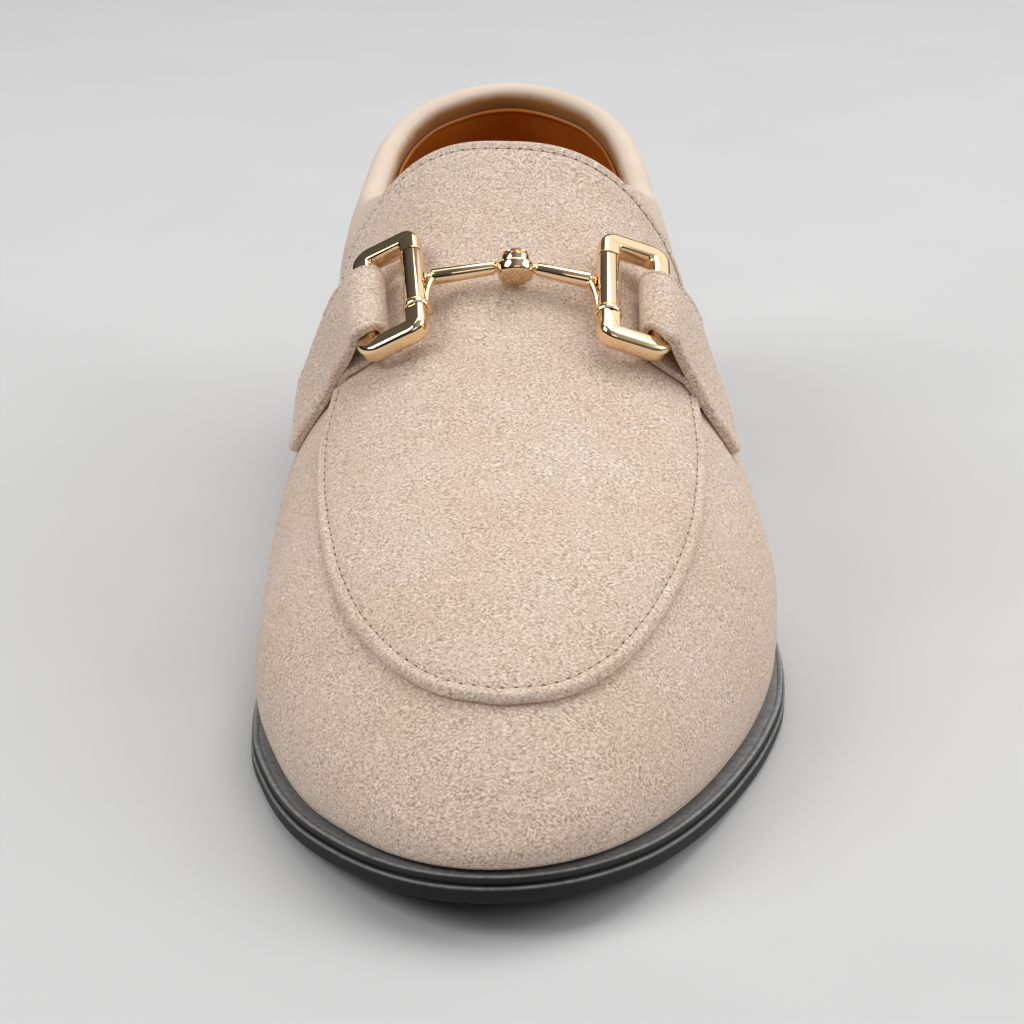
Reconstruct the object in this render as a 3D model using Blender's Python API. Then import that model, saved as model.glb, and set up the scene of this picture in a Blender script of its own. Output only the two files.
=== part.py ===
"""Left buckle loafer: a lasted suede upper on a thin rubber sole, with a gold buckle across the vamp.

All sizes are millimetres. A station is the distance from the back of the heel towards the toe, and
becomes -Y. The medial side of this left shoe is -X and the lateral side is +X.
"""
import math
from collections import namedtuple

import bmesh
import bpy
import numpy as np

for old in list(bpy.data.objects):
    bpy.data.objects.remove(old, do_unlink=True)

MM = 0.001
GAP = 0.3
MEDIAL, LATERAL = -1, 1
SIDES = {"medial": MEDIAL, "lateral": LATERAL}

# Sole: length, heights of its layers, and the line of its underside
SOLE_LENGTH = 266.0
CENTRE_X = 1.01
SOLE_EDGE = 3.4
WELT_THICK = 1.3
WELT_SETBACK = 0.45
WELT_INNER = 6.0
INSOLE_THICK = 3.0
HEEL_LIFT = 14.0
HEEL_BREAST = 64.0
HEEL_TAPER = 1.6
SEAT_END = 45.0
BALL_START = 160.0
BALL_END = 213.0
TOE_SPRING = 6.3
SPRING_POWER = 1.8
FEATHER_RISE = SOLE_EDGE + GAP + WELT_THICK + GAP

# Upper: wall, padded collar, and where the throat and the tongue's edge lie
WALL = 2.2
PAD = 4.0
PAD_OUT = 0.8
PAD_DEPTH = 24.0
PAD_FADE = (84.0, 101.0)
TONGUE_EDGE = 103.5
THROAT = 109.0
APRON_THICK = 1.2
APRON_LIFT = GAP + APRON_THICK
APRON_EDGE_SHARE = 0.7
TONGUE_STAND = 0.6
TONGUE_STAND_LONG = 12.0
TONGUE_SKEW = {MEDIAL: -3.2, LATERAL: 4.2}
TONGUE_SKEW_LONG = 16.0

# Straps and buckle
STRAP_THICK = 2.0
STRAP_TUCK = 1.4
STRAP_LONG = {"medial": 18.5, "lateral": 17.0}
STRAP_BOW = {"medial": 1.3, "lateral": 0.1}
STRAP_STAND = {"medial": 2.4, "lateral": 1.6}
STRAP_STAND_FRONT = 0.3
STRAP_SAG = {"medial": 1.0, "lateral": 1.2}
STRAP_SAG_FRONT = 2.2
STRAP_LEAVE = {"medial": 1.9, "lateral": 0.8}
STRAP_LEAVE_FRONT = 1.0
STRAP_LEAVE_LONG = 8.5
BUCKLE_STATION = {"medial": 139.0, "lateral": 141.5}
BUCKLE_TURN = {"medial": 1.11, "lateral": 1.19}
BUCKLE_SPLAY = 0.12
FRAME_LONG = 30.0
FRAME_WIDE = 15.8
FRAME_CORNER = 2.4
FRAME_CORNER_SQUARE = 0.12
BAR = 4.1
SLEEVE_BAR = 2.8
SLEEVE_BORE = 3.4
SLEEVE_OUTER = 4.9
SLEEVE_LONG = 17.5
SLEEVE_RING = (1.1, 5.5)
BAR_HEIGHT = APRON_LIFT + BAR / 2 + STRAP_TUCK + 3 * GAP
ROD = 3.3
ROD_NECK = 2.0
JOINT_FRONT = (6.4, 3.9)
JOINT_REAR = (5.0, 2.7)
JOINT_CLEAR = 1.3
JOINT_TILT = 0.24
JOINT_STATION = 136.6
ROD_SHIFT = -1.0

# Sections of the last: half widths at the feather line, the sole's ledge outside it, how far each
# side swells above the feather, and how square the section is (2 is an ellipse)
Section = namedtuple("Section", "station medial lateral ledge swell_medial swell_lateral fullness")
SECTIONS = [
    Section(2.5, 0.0, 0.0, 2.5, 2.0, 2.0, 3.05),
    Section(9.0, 17.3, 17.3, 2.5, 2.2, 2.1, 3.05),
    Section(20.0, 27.4, 27.4, 2.4, 2.6, 2.3, 3.05),
    Section(40.0, 31.5, 31.5, 2.2, 3.5, 2.8, 3.2),
    Section(65.0, 32.3, 32.5, 2.0, 5.0, 3.3, 3.25),
    Section(95.0, 32.5, 34.0, 2.0, 6.5, 3.2, 2.9),
    Section(125.0, 36.0, 38.5, 2.2, 7.0, 2.6, 2.8),
    Section(150.0, 41.2, 45.0, 2.7, 6.0, 2.2, 2.65),
    Section(170.0, 43.6, 47.0, 3.2, 4.3, 2.2, 2.55),
    Section(190.0, 44.7, 45.3, 3.4, 3.0, 2.0, 2.5),
    Section(205.0, 43.7, 41.5, 3.4, 2.8, 2.0, 2.5),
    Section(220.0, 39.5, 36.0, 3.4, 2.6, 2.2, 2.5),
    Section(235.0, 33.0, 29.5, 3.3, 2.6, 2.4, 2.5),
    Section(248.0, 24.0, 22.5, 3.1, 2.6, 2.5, 2.45),
    Section(257.0, 15.5, 15.0, 2.8, 2.6, 2.6, 2.4),
    Section(263.2, 0.0, 0.0, 2.8, 2.6, 2.6, 2.4),
]

# Middle line of the last: its side bend, and the height of its crest over the whole foot
Middle = namedtuple("Middle", "station bend crest")
MIDDLES = [
    Middle(0.0, -0.2, 89.0),
    Middle(40.0, -0.2, 94.5),
    Middle(80.0, -0.3, 94.5),
    Middle(102.0, -0.5, 86.0),
    Middle(115.0, -0.6, 78.5),
    Middle(130.0, -0.4, 70.0),
    Middle(145.0, -0.1, 62.5),
    Middle(160.0, 0.0, 56.5),
    Middle(180.0, 0.0, 50.0),
    Middle(200.0, -0.2, 45.0),
    Middle(220.0, -1.0, 39.5),
    Middle(235.0, -1.9, 34.5),
    Middle(246.0, -2.8, 30.6),
    Middle(256.0, -3.8, 26.2),
    Middle(264.0, -4.7, 20.5),
]

# A rib of the last starts on the feather line and runs to this station of the crest
Rib = namedtuple("Rib", "station crest_station")
RIBS = [Rib(2.5, 30.0), Rib(30.0, 40.0), Rib(60.0, 60.0), Rib(110.0, 110.0), Rib(200.0, 194.0),
        Rib(263.2, 231.0)]

# Top line of the collar, by station
Collar = namedtuple("Collar", "station height")
COLLARS = [Collar(0.0, 76.8), Collar(12.0, 74.1), Collar(35.0, 67.8), Collar(60.0, 65.1),
           Collar(80.0, 66.3), Collar(92.0, 70.8), Collar(102.0, 76.5), Collar(109.0, 81.8)]

# Edge of the apron and tongue: how far up its rib each side starts, as a turn from feather to crest
ApronEdge = namedtuple("ApronEdge", "station medial lateral")
APRON_EDGES = [
    ApronEdge(103.5, 0.74, 0.78),
    ApronEdge(105.5, 0.64, 0.68),
    ApronEdge(108.5, 0.58, 0.62),
    ApronEdge(113.0, 0.56, 0.60),
    ApronEdge(120.0, 0.585, 0.655),
    ApronEdge(130.0, 0.66, 0.75),
    ApronEdge(145.0, 0.74, 0.85),
    ApronEdge(160.0, 0.71, 0.855),
    ApronEdge(175.0, 0.73, 0.855),
    ApronEdge(190.0, 0.78, 0.86),
    ApronEdge(207.0, 0.83, 0.86),
    ApronEdge(222.0, 0.86, 0.87),
    ApronEdge(238.0, 0.95, 0.94),
    ApronEdge(249.0, 1.04, 1.04),
    ApronEdge(257.5, 1.15, 1.15),
    ApronEdge(263.2, 1.21, 1.21),
]

# Straps: stations of the two edges of each, by the drop down the side from the buckle's outer bar
Strap = namedtuple("Strap", "drop front rear")
STRAPS = {
    "medial": [Strap(0.0, 149.0, 132.3), Strap(5.0, 149.6, 132.6), Strap(8.5, 150.6, 132.4),
               Strap(10.5, 151.4, 129.5), Strap(18.5, 156.0, 127.5)],
    "lateral": [Strap(0.0, 151.5, 136.2), Strap(5.0, 152.6, 136.8), Strap(8.5, 154.6, 136.6),
                Strap(10.5, 156.0, 133.8), Strap(17.0, 161.5, 132.0)],
}

# How finely curved pieces are divided
RING_STEPS = 40
HEEL_RIBS = 15
TOE_RIBS = 22
THROAT_STEPS = (5.5, 3.6, 1.8, 0.5, 0.0)
LEVELS = 5
STRAP_COLUMNS = 6


def smooth(x, xs, ys):
    """Shape-keeping cubic through the rows of a table."""
    xs, ys = np.asarray(xs, float), np.asarray(ys, float)
    x = np.clip(np.asarray(x, float), xs[0], xs[-1])
    step = np.diff(xs)
    rise = np.diff(ys) / step
    slope = np.zeros_like(ys)
    slope[0], slope[-1] = rise[0], rise[-1]
    for i in range(1, len(xs) - 1):
        if rise[i - 1] * rise[i] > 0:
            before, after = 2 * step[i] + step[i - 1], step[i] + 2 * step[i - 1]
            slope[i] = (before + after) / (before / rise[i - 1] + after / rise[i])
    i = np.clip(np.searchsorted(xs, x, side="right") - 1, 0, len(step) - 1)
    t = (x - xs[i]) / step[i]
    return (ys[i] * (1 + 2 * t) * (1 - t) ** 2 + ys[i + 1] * t * t * (3 - 2 * t)
            + step[i] * t * (1 - t) * (slope[i] * (1 - t) - slope[i + 1] * t))


def column(rows, name):
    """One named column of a table."""
    return [getattr(row, name) for row in rows]


def look_up(rows, name, station):
    """A table's column read at any station."""
    return smooth(station, column(rows, rows[0]._fields[0]), column(rows, name))


def ease(x):
    """Soft step from 0 to 1."""
    x = np.clip(x, 0.0, 1.0)
    return x * x * (3 - 2 * x)


FEATHER_HEEL = SECTIONS[0].station
FEATHER_TOE = SECTIONS[-1].station


def turn_of(station):
    """Angle round the plan outline, 0 at the heel and pi at the toe, for a feather station."""
    share = (np.asarray(station, float) - FEATHER_HEEL) / (FEATHER_TOE - FEATHER_HEEL)
    return np.arccos(np.clip(1 - 2 * share, -1, 1))


def station_of(turn):
    """Feather station at an angle round the plan outline."""
    return FEATHER_HEEL + (FEATHER_TOE - FEATHER_HEEL) * (1 - np.cos(turn)) / 2


SECTION_TURNS = turn_of(column(SECTIONS, "station"))


def side_column(side, stem=""):
    """Name of a table's column for one side of the shoe."""
    return stem + ("medial" if side < 0 else "lateral")


def feather_plan(side, turn):
    """Feather line in plan: sideways place and station."""
    width = smooth(turn, SECTION_TURNS, column(SECTIONS, side_column(side)))
    station = station_of(turn)
    return look_up(MIDDLES, "bend", station) + side * width, station


def plan_normal(side, turn):
    """Outward normal of the feather line in plan, as (sideways, along the station)."""
    turn = np.asarray(turn, float)
    reach = 0.03
    x_a, s_a = feather_plan(side, np.clip(turn - reach, 0, math.pi))
    x_b, s_b = feather_plan(side, np.clip(turn + reach, 0, math.pi))
    along = np.where((turn < 1e-6) | (turn > math.pi - 1e-6), 0.0, s_b - s_a)
    across = x_b - x_a
    length = np.hypot(along, across)
    return side * along / length, -side * across / length


def underside(station):
    """Height of the sole's underside: heel seat, waist, flat ball and toe spring."""
    waist = np.clip((station - SEAT_END) / (BALL_START - SEAT_END), 0, 1)
    spring = np.clip((station - BALL_END) / (SOLE_LENGTH - BALL_END), 0, 1.1)
    return HEEL_LIFT * (0.5 + 0.5 * np.cos(math.pi * waist)) + TOE_SPRING * spring ** SPRING_POWER


def to_frame(x, station, z):
    """Millimetre places (sideways, station, height) as points of the part's frame."""
    return np.stack(np.broadcast_arrays(x - CENTRE_X, SOLE_LENGTH / 2 - station, z), -1)


def last(side, station, turn_up):
    """Outer surface of the upper: feather at turn_up 0, crest at a quarter turn."""
    station, turn_up = np.broadcast_arrays(np.asarray(station, float), np.asarray(turn_up, float))
    turn = turn_of(station)
    x_foot, _ = feather_plan(side, turn)
    out_x, out_s = plan_normal(side, turn)
    power = 2 / look_up(SECTIONS, "fullness", station)
    inward = 1 - np.maximum(np.cos(turn_up), 0) ** power
    upward = np.sin(turn_up) ** power
    crest_station = look_up(RIBS, "crest_station", station)
    x = x_foot + (look_up(MIDDLES, "bend", crest_station) - x_foot) * inward
    along = station + (crest_station - station) * inward
    foot = FEATHER_RISE + underside(station)
    z = foot + (look_up(MIDDLES, "crest", along) - foot) * upward
    swell = look_up(SECTIONS, side_column(side, "swell_"), station) * 6.75 * upward * (1 - upward) ** 2
    return to_frame(x + out_x * swell, along + out_s * swell, z)


def unit(vectors):
    """Vectors scaled to length 1."""
    return vectors / np.linalg.norm(vectors, axis=-1, keepdims=True)


def last_normal(side, station, turn_up):
    """Outward normal of the last, the mean of both sides on the crest, heel and toe lines."""
    station, turn_up = np.broadcast_arrays(np.asarray(station, float), np.asarray(turn_up, float))
    turn = turn_of(station)
    reach = 0.012
    beside = np.minimum(turn_up, math.pi / 2 - 5 * reach)
    total = np.zeros(station.shape + (3,))
    for part in (MEDIAL, LATERAL):
        fore = last(part, station_of(np.clip(turn + reach, 0, math.pi)), beside)
        aft = last(part, station_of(np.clip(turn - reach, 0, math.pi)), beside)
        top = last(part, station, beside + reach)
        low = last(part, station, np.maximum(beside - reach, 0))
        normal = unit(part * np.cross(top - low, fore - aft))
        shared = (turn_up > math.pi / 2 - 1e-6) | (turn < 1e-6) | (turn > math.pi - 1e-6)
        total += np.where((shared | (part == side))[..., None], normal, 0.0)
    return unit(total)


def even_turns(side, station, start, end, steps):
    """Turns between two limits on a rib, spaced evenly along its surface."""
    fine = np.linspace(start, end, 80)
    points = last(side, np.full_like(fine, station), fine)
    run = np.concatenate([[0], np.cumsum(np.linalg.norm(np.diff(points, axis=0), axis=1))])
    return np.interp(np.linspace(0, run[-1], steps + 1), run, fine)


def collar_turn(side, station):
    """Turn at which a rib reaches the collar's top line, or the crest in front of the throat."""
    if station >= THROAT:
        return math.pi / 2
    fine = np.linspace(0.05, math.pi / 2, 400)
    points = last(side, np.full_like(fine, station), fine)
    above = points[:, 2] - look_up(COLLARS, "height", SOLE_LENGTH / 2 - points[:, 1])
    first = int(np.argmax(above > 0))
    if above[first] <= 0:
        return math.pi / 2
    share = above[first] / (above[first] - above[first - 1])
    return fine[first] - share * (fine[first] - fine[first - 1])


def apron_turn(side, station):
    """Turn at which the apron's edge crosses a rib."""
    return float(look_up(APRON_EDGES, side_column(side), station))


# Materials: colour, roughness and metallic value of each
MATERIALS = {
    "suede": ((0.58, 0.44, 0.34, 1.0), 0.95, 0.0),
    "tan_leather": ((0.36, 0.16, 0.06, 1.0), 0.5, 0.0),
    "black_rubber": ((0.018, 0.018, 0.019, 1.0), 0.55, 0.0),
    "polished_gold": ((0.86, 0.66, 0.36, 1.0), 0.14, 1.0),
}


def material(name):
    """The named Principled material, made once."""
    found = bpy.data.materials.get(name)
    if found:
        return found
    colour, roughness, metallic = MATERIALS[name]
    made = bpy.data.materials.new(name)
    made.use_nodes = True
    shader = made.node_tree.nodes["Principled BSDF"]
    shader.inputs["Base Color"].default_value = colour
    shader.inputs["Roughness"].default_value = roughness
    shader.inputs["Metallic"].default_value = metallic
    return made


class Shell:
    """Points and faces of one piece, joined into a closed mesh at the end."""

    def __init__(self):
        self.mesh = bmesh.new()

    def add(self, points):
        """New vertices for an array of millimetre points, in the same layout."""
        points = np.asarray(points, float)
        flat = [self.mesh.verts.new(point * MM) for point in points.reshape(-1, 3)]
        made = np.empty(len(flat), object)
        made[:] = flat
        return made.reshape(points.shape[:-1])

    def face(self, *corners):
        """One face, leaving out corners that are the same vertex."""
        unique = list(dict.fromkeys(corners))
        if len(unique) > 2 and not self.mesh.faces.get(unique):
            self.mesh.faces.new(unique)

    def sheet(self, grid):
        """Quads over a grid of vertices."""
        for low, high in zip(grid[:-1], grid[1:]):
            for i in range(len(low) - 1):
                self.face(low[i], low[i + 1], high[i + 1], high[i])

    def band(self, *rings):
        """Quads between closed rings of vertices."""
        for low, high in zip(rings[:-1], rings[1:]):
            for i in range(len(low)):
                j = (i + 1) % len(low)
                self.face(low[i], low[j], high[j], high[i])

    def cross(self, ring):
        """Faces across an outline ring, from each medial point to its lateral partner."""
        half = len(ring) // 2
        for i in range(half):
            self.face(ring[i], ring[i + 1], ring[-i - 1], ring[-i])

    def finish(self, name, material_name, smooth_angle=40.0):
        """The closed mesh as a named object with its material."""
        bmesh.ops.recalc_face_normals(self.mesh, faces=self.mesh.faces)
        data = bpy.data.meshes.new(name)
        self.mesh.to_mesh(data)
        self.mesh.free()
        data.materials.append(material(material_name))
        data.shade_smooth()
        data.set_sharp_from_angle(angle=math.radians(smooth_angle))
        made = bpy.data.objects.new(name, data)
        bpy.context.scene.collection.objects.link(made)
        return made


def outline_ring(outward, height, end_turn=math.pi):
    """Points round the feather line, moved outwards in plan, at a height over the underside.

    The ring runs from the heel along the medial side to end_turn and back along the lateral side.
    outward and height are numbers, or functions of the feather station.
    """
    turns = np.linspace(0, end_turn, RING_STEPS + 1)
    rows = []
    back = turns[::-1][:-1]
    for side, part in ((MEDIAL, turns), (LATERAL, back if end_turn < math.pi else back[1:])):
        x, station = feather_plan(side, part)
        out_x, out_s = plan_normal(side, part)
        push = outward(station) if callable(outward) else outward
        along = station + out_s * push
        rise = height(station) if callable(height) else height
        rows.append(to_frame(x + out_x * push, along, underside(along) + rise))
    return np.concatenate(rows)


def ledge(inset):
    """The sole's outer edge, or a line the given distance inside it."""
    return lambda station: look_up(SECTIONS, "ledge", station) - inset


def build_outsole():
    """Rubber outsole: flat tread, rounded edge with a groove, and a raised bed inside the welt."""
    tread_round = 0.9
    groove_depth = 0.35
    shell = Shell()
    rim = [
        (ledge(3.0), 0.0),
        (ledge(tread_round), 0.0),
        (ledge(0.15), 0.55),
        (ledge(0.0), 1.1),
        (ledge(0.0), 2.3),
        (ledge(groove_depth), 2.5),
        (ledge(0.05), 2.75),
        (ledge(0.15), SOLE_EDGE),
        (-WELT_INNER - GAP, SOLE_EDGE),
        (-WELT_INNER - GAP, SOLE_EDGE + GAP + WELT_THICK),
    ]
    rings = [shell.add(outline_ring(outward, height)) for outward, height in rim]
    shell.band(*rings)
    shell.cross(rings[0])
    shell.cross(rings[-1])
    shell.finish("outsole", "black_rubber", 30.0)


def build_welt():
    """Flat strip round the whole sole, under the edge of the upper."""
    low = SOLE_EDGE + GAP
    top = low + WELT_THICK
    shell = Shell()
    rings = [shell.add(outline_ring(outward, height)) for outward, height in (
        (ledge(WELT_SETBACK + 0.2), low),
        (ledge(WELT_SETBACK), low + 0.3),
        (ledge(WELT_SETBACK), top - 0.25),
        (ledge(WELT_SETBACK + 0.25), top),
        (-WELT_INNER, top),
        (-WELT_INNER, low))]
    shell.band(*rings, rings[0])
    shell.finish("welt", "black_rubber", 30.0)


def build_heel():
    """Low heel block under the seat, flat on the floor, a little narrower below."""
    end_turn = float(turn_of(HEEL_BREAST))
    shell = Shell()
    rings = []
    for inset, drop in ((0.5, 0.0), (0.3, 0.04), (HEEL_TAPER - 0.4, 0.96), (HEEL_TAPER, 1.0)):
        ring = outline_ring(ledge(inset), -GAP, end_turn)
        ring[:, 2] *= 1 - drop
        rings.append(shell.add(ring))
    shell.band(*rings)
    shell.cross(rings[0])
    shell.cross(rings[-1])
    shell.finish("heel", "black_rubber", 30.0)


def build_insole():
    """Leather sock on the bed, inside the foot of the upper."""
    inside = -WALL - 2 * GAP
    low = FEATHER_RISE
    shell = Shell()
    rings = [shell.add(outline_ring(outward, height)) for outward, height in (
        (inside - 0.4, low),
        (inside, low + 0.4),
        (inside - 0.2, low + INSOLE_THICK - 0.4),
        (inside - 0.8, low + INSOLE_THICK))]
    shell.band(*rings)
    shell.cross(rings[0])
    shell.cross(rings[-1])
    shell.finish("insole", "tan_leather")


def rib_stations():
    """Feather stations of the upper's ribs, and the places in it of the tongue's edge and throat."""
    heel = station_of(np.linspace(0, turn_of(THROAT - 10.0), HEEL_RIBS + 1))
    throat = THROAT - np.array(THROAT_STEPS)
    toe = station_of(np.linspace(turn_of(THROAT), math.pi, TOE_RIBS + 1))[1:]
    return np.concatenate([heel, throat, toe]), HEEL_RIBS + 1, HEEL_RIBS + len(THROAT_STEPS)


def build_upper():
    """Hollow lasted shell, open underneath and at the padded collar."""
    stations, _, throat = rib_stations()
    shell = Shell()
    outer, inner, collar = {}, {}, {}
    for side in (MEDIAL, LATERAL):
        skin, lining, edge = [], [], []
        for i, station in enumerate(stations):
            top = collar_turn(side, station)
            split = apron_turn(side, station) if station >= TONGUE_EDGE else 0.5 * top
            turns = np.concatenate([even_turns(side, station, 0, split, LEVELS),
                                    even_turns(side, station, split, top, LEVELS)[1:]])
            points = last(side, np.full_like(turns, station), turns)
            normals = last_normal(side, np.full_like(turns, station), turns)
            down = np.cumsum(np.linalg.norm(np.diff(points[::-1], axis=0), axis=1))
            below = np.concatenate([[0], down])[::-1]
            fade = 1 - ease((station - PAD_FADE[0]) / (PAD_FADE[1] - PAD_FADE[0]))
            padded = fade * (1 - ease(below / PAD_DEPTH)) if i < throat else 0 * below
            skin.append(points + normals * (PAD_OUT * padded * np.minimum(below / 8, 1))[:, None])
            wall = (WALL + PAD * padded)[:, None]
            lining.append(points - normals * wall)
            lining[-1][0] = points[0] - normals[0] * WALL
            lining[-1][0][2] = points[0][2]
            edge.append(normals[-1])
        outer[side], inner[side], collar[side] = np.array(skin), np.array(lining), edge
    for group in (outer, inner):
        made = {side: shell.add(group[side]) for side in group}
        for i in range(len(stations)):
            whole = i in (0, len(stations) - 1)
            for j in range(2 * LEVELS + 1):
                if whole or (j == 2 * LEVELS and i >= throat):
                    made[LATERAL][i][j] = made[MEDIAL][i][j]
        for side in group:
            shell.sheet(made[side])
        group["made"] = made
    loop = [(MEDIAL, i) for i in range(throat + 1)] + [(LATERAL, i) for i in range(throat - 1, 0, -1)]
    rim_outer = [outer["made"][side][i][-1] for side, i in loop]
    rim_inner = [inner["made"][side][i][-1] for side, i in loop]
    out_points = np.array([outer[side][i][-1] for side, i in loop])
    in_points = np.array([inner[side][i][-1] for side, i in loop])
    along = unit(np.roll(out_points, -1, axis=0) - np.roll(out_points, 1, axis=0))
    upward = unit(np.cross(out_points - in_points, along))
    rings = [rim_outer]
    for angle in np.radians((45, 90, 135)):
        middle = (out_points + in_points) / 2
        reach = (out_points - in_points) / 2
        radius = np.linalg.norm(reach, axis=1, keepdims=True)
        rings.append(list(shell.add(middle + reach * math.cos(angle) + upward * radius * math.sin(angle))))
    shell.band(*rings, rim_inner)
    last_rib = len(stations) - 1
    foot = [(MEDIAL, i) for i in range(last_rib + 1)] + [(LATERAL, i) for i in range(last_rib - 1, 0, -1)]
    shell.band([outer["made"][side][i][0] for side, i in foot],
               [inner["made"][side][i][0] for side, i in foot])
    loose = [vert for vert in shell.mesh.verts if not vert.link_faces]
    bmesh.ops.delete(shell.mesh, geom=loose, context="VERTS")
    shell.finish("upper", "suede", 60.0)


def tongue_places(side, station, turns):
    """Feather stations along one rib of the apron, whose tongue is cut slightly askew."""
    share = (math.pi / 2 - turns) / (math.pi / 2 - turns[0])
    fade = 1 - ease((station - TONGUE_EDGE) / TONGUE_SKEW_LONG)
    return station + TONGUE_SKEW[side] * fade * share


def build_apron():
    """Raised plug over the vamp, free at the back as a short tongue."""
    stations, tongue, _ = rib_stations()
    stations = stations[tongue:]
    shell = Shell()
    low, top = {}, {}
    for side in (MEDIAL, LATERAL):
        under, over = [], []
        for station in stations:
            turns = even_turns(side, station, apron_turn(side, station), math.pi / 2, LEVELS)
            places = tongue_places(side, station, turns)
            points = last(side, places, turns)
            normals = last_normal(side, places, turns)
            stand = TONGUE_STAND * (1 - ease((station - TONGUE_EDGE) / TONGUE_STAND_LONG))
            lift = np.full_like(turns, APRON_LIFT)
            lift[0] = GAP + APRON_THICK * APRON_EDGE_SHARE
            under.append(points + normals * (GAP + stand))
            over.append(points + normals * (lift + stand)[:, None])
        low[side], top[side] = shell.add(np.array(under)), shell.add(np.array(over))
    for group in (low, top):
        for i in range(len(stations)):
            group[LATERAL][i][-1] = group[MEDIAL][i][-1]
        group[LATERAL][-1] = group[MEDIAL][-1]
        for side in group:
            shell.sheet(group[side])
    rings = []
    for group in (low, top):
        toe = len(stations) - 1
        rings.append([group[MEDIAL][i][0] for i in range(toe + 1)]
                     + [group[LATERAL][i][0] for i in range(toe - 1, -1, -1)]
                     + list(group[LATERAL][0][1:]) + list(group[MEDIAL][0][-2:0:-1]))
    shell.band(*rings)
    loose = [vert for vert in shell.mesh.verts if not vert.link_faces]
    bmesh.ops.delete(shell.mesh, geom=loose, context="VERTS")
    shell.finish("apron", "suede", 35.0)


class Seat:
    """Local axes of one buckle frame, set over the apron: along the shoe, down its side, and up."""

    def __init__(self, name):
        side = SIDES[name]
        self.side = side
        self.station = BUCKLE_STATION[name]
        self.turn = BUCKLE_TURN[name]
        toe_way = np.array([side * math.sin(BUCKLE_SPLAY), -math.cos(BUCKLE_SPLAY), 0.0])
        self.up = last_normal(side, self.station, self.turn)
        self.along = unit(toe_way - self.up * np.dot(self.up, toe_way))
        self.down_side = side * np.cross(self.up, self.along)
        self.centre = last(side, self.station, self.turn) + self.up * BAR_HEIGHT

    def place(self, along, down_side, up):
        """A local millimetre point, or arrays of them, in the part's frame."""
        parts = np.broadcast_arrays(np.asarray(along, float), down_side, up)
        return (self.centre + parts[0][..., None] * self.along + parts[1][..., None] * self.down_side
                + parts[2][..., None] * self.up)


def build_frame(name):
    """Squared loop of chamfered bar, thinner where the sleeve turns on it."""
    seat = Seat(name)
    half_long, half_wide = (FRAME_LONG - BAR) / 2, (FRAME_WIDE - BAR) / 2
    path = []
    corner_steps = 4
    for quarter, (sign_long, sign_wide) in enumerate(((1, 1), (-1, 1), (-1, -1), (1, -1))):
        for k in range(corner_steps + 1):
            angle = math.radians(90 * (quarter + k / corner_steps))
            long_way = sign_long * (half_long - FRAME_CORNER) + FRAME_CORNER * math.cos(angle)
            wide_way = sign_wide * (half_wide - FRAME_CORNER) + FRAME_CORNER * math.sin(angle)
            square = 1 + FRAME_CORNER_SQUARE * math.sin(2 * angle) ** 2
            path.append((long_way, wide_way, math.cos(angle), math.sin(angle), BAR * square))
        if quarter == 2:
            for share in (-1, 1):
                path.append((share * SLEEVE_LONG / 2, -half_wide, 0.0, -1.0, SLEEVE_BAR))
    profile = [math.radians(22.5 + 45 * k) for k in range(8)]
    shell = Shell()
    rings = []
    for long_way, wide_way, out_long, out_wide, bar in path:
        radius = bar / 2 / math.cos(math.radians(22.5))
        out = np.array([radius * math.cos(a) for a in profile])
        up = np.array([radius * math.sin(a) for a in profile])
        rings.append(shell.add(seat.place(long_way + out * out_long, wide_way + out * out_wide, up)))
    shell.band(*rings, rings[0])
    shell.finish("frame_" + name, "polished_gold", 25.0)


def turned(shell, centres, axis, side_way, up_way, radii, sides):
    """Rings of a turned piece: one for each centre on its axis and radius."""
    angles = np.linspace(0, 2 * math.pi, sides, endpoint=False)
    rings = []
    for centre, radius in zip(centres, radii):
        spokes = np.cos(angles)[:, None] * side_way + np.sin(angles)[:, None] * up_way
        rings.append(shell.add(centre + radius * spokes))
    return rings


def build_sleeve(name):
    """Tube that turns on the frame's inner bar, with a ring at its front end."""
    seat = Seat(name)
    inner_bar = -(FRAME_WIDE - BAR) / 2
    half = SLEEVE_LONG / 2 - 0.6
    ring_long, ring_outer = SLEEVE_RING
    outside = [(-half, SLEEVE_OUTER - 0.5), (-half + 0.3, SLEEVE_OUTER), (half - ring_long, SLEEVE_OUTER),
               (half - ring_long, ring_outer - 0.3), (half - ring_long + 0.3, ring_outer),
               (half - 0.3, ring_outer), (half, ring_outer - 0.4)]
    bore = [(half, SLEEVE_BORE), (-half, SLEEVE_BORE)]
    shell = Shell()
    places = [seat.place(along, inner_bar, 0.0) for along, _ in outside + bore]
    radii = [across / 2 for _, across in outside + bore]
    rings = turned(shell, places, seat.along, seat.down_side, seat.up, radii, 16)
    shell.band(*rings, rings[0])
    shell.finish("sleeve_" + name, "polished_gold", 30.0)


def joint_axes():
    """Middle of the centre joint, its axis along the crest, and the way up from the crest."""
    crest = math.pi / 2
    fore, aft = (last(MEDIAL, JOINT_STATION + d, crest) for d in (6.0, -6.0))
    axis = unit(fore - aft)
    up = last_normal(MEDIAL, JOINT_STATION, crest)
    up = unit(up - axis * np.dot(up, axis))
    foot = last(MEDIAL, JOINT_STATION, crest)
    centre = foot + up * (APRON_LIFT + JOINT_CLEAR + JOINT_FRONT[0] / 2)
    tilt, lean = math.cos(JOINT_TILT), math.sin(JOINT_TILT)
    return centre, axis * tilt - up * lean, up * tilt + axis * lean


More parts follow.
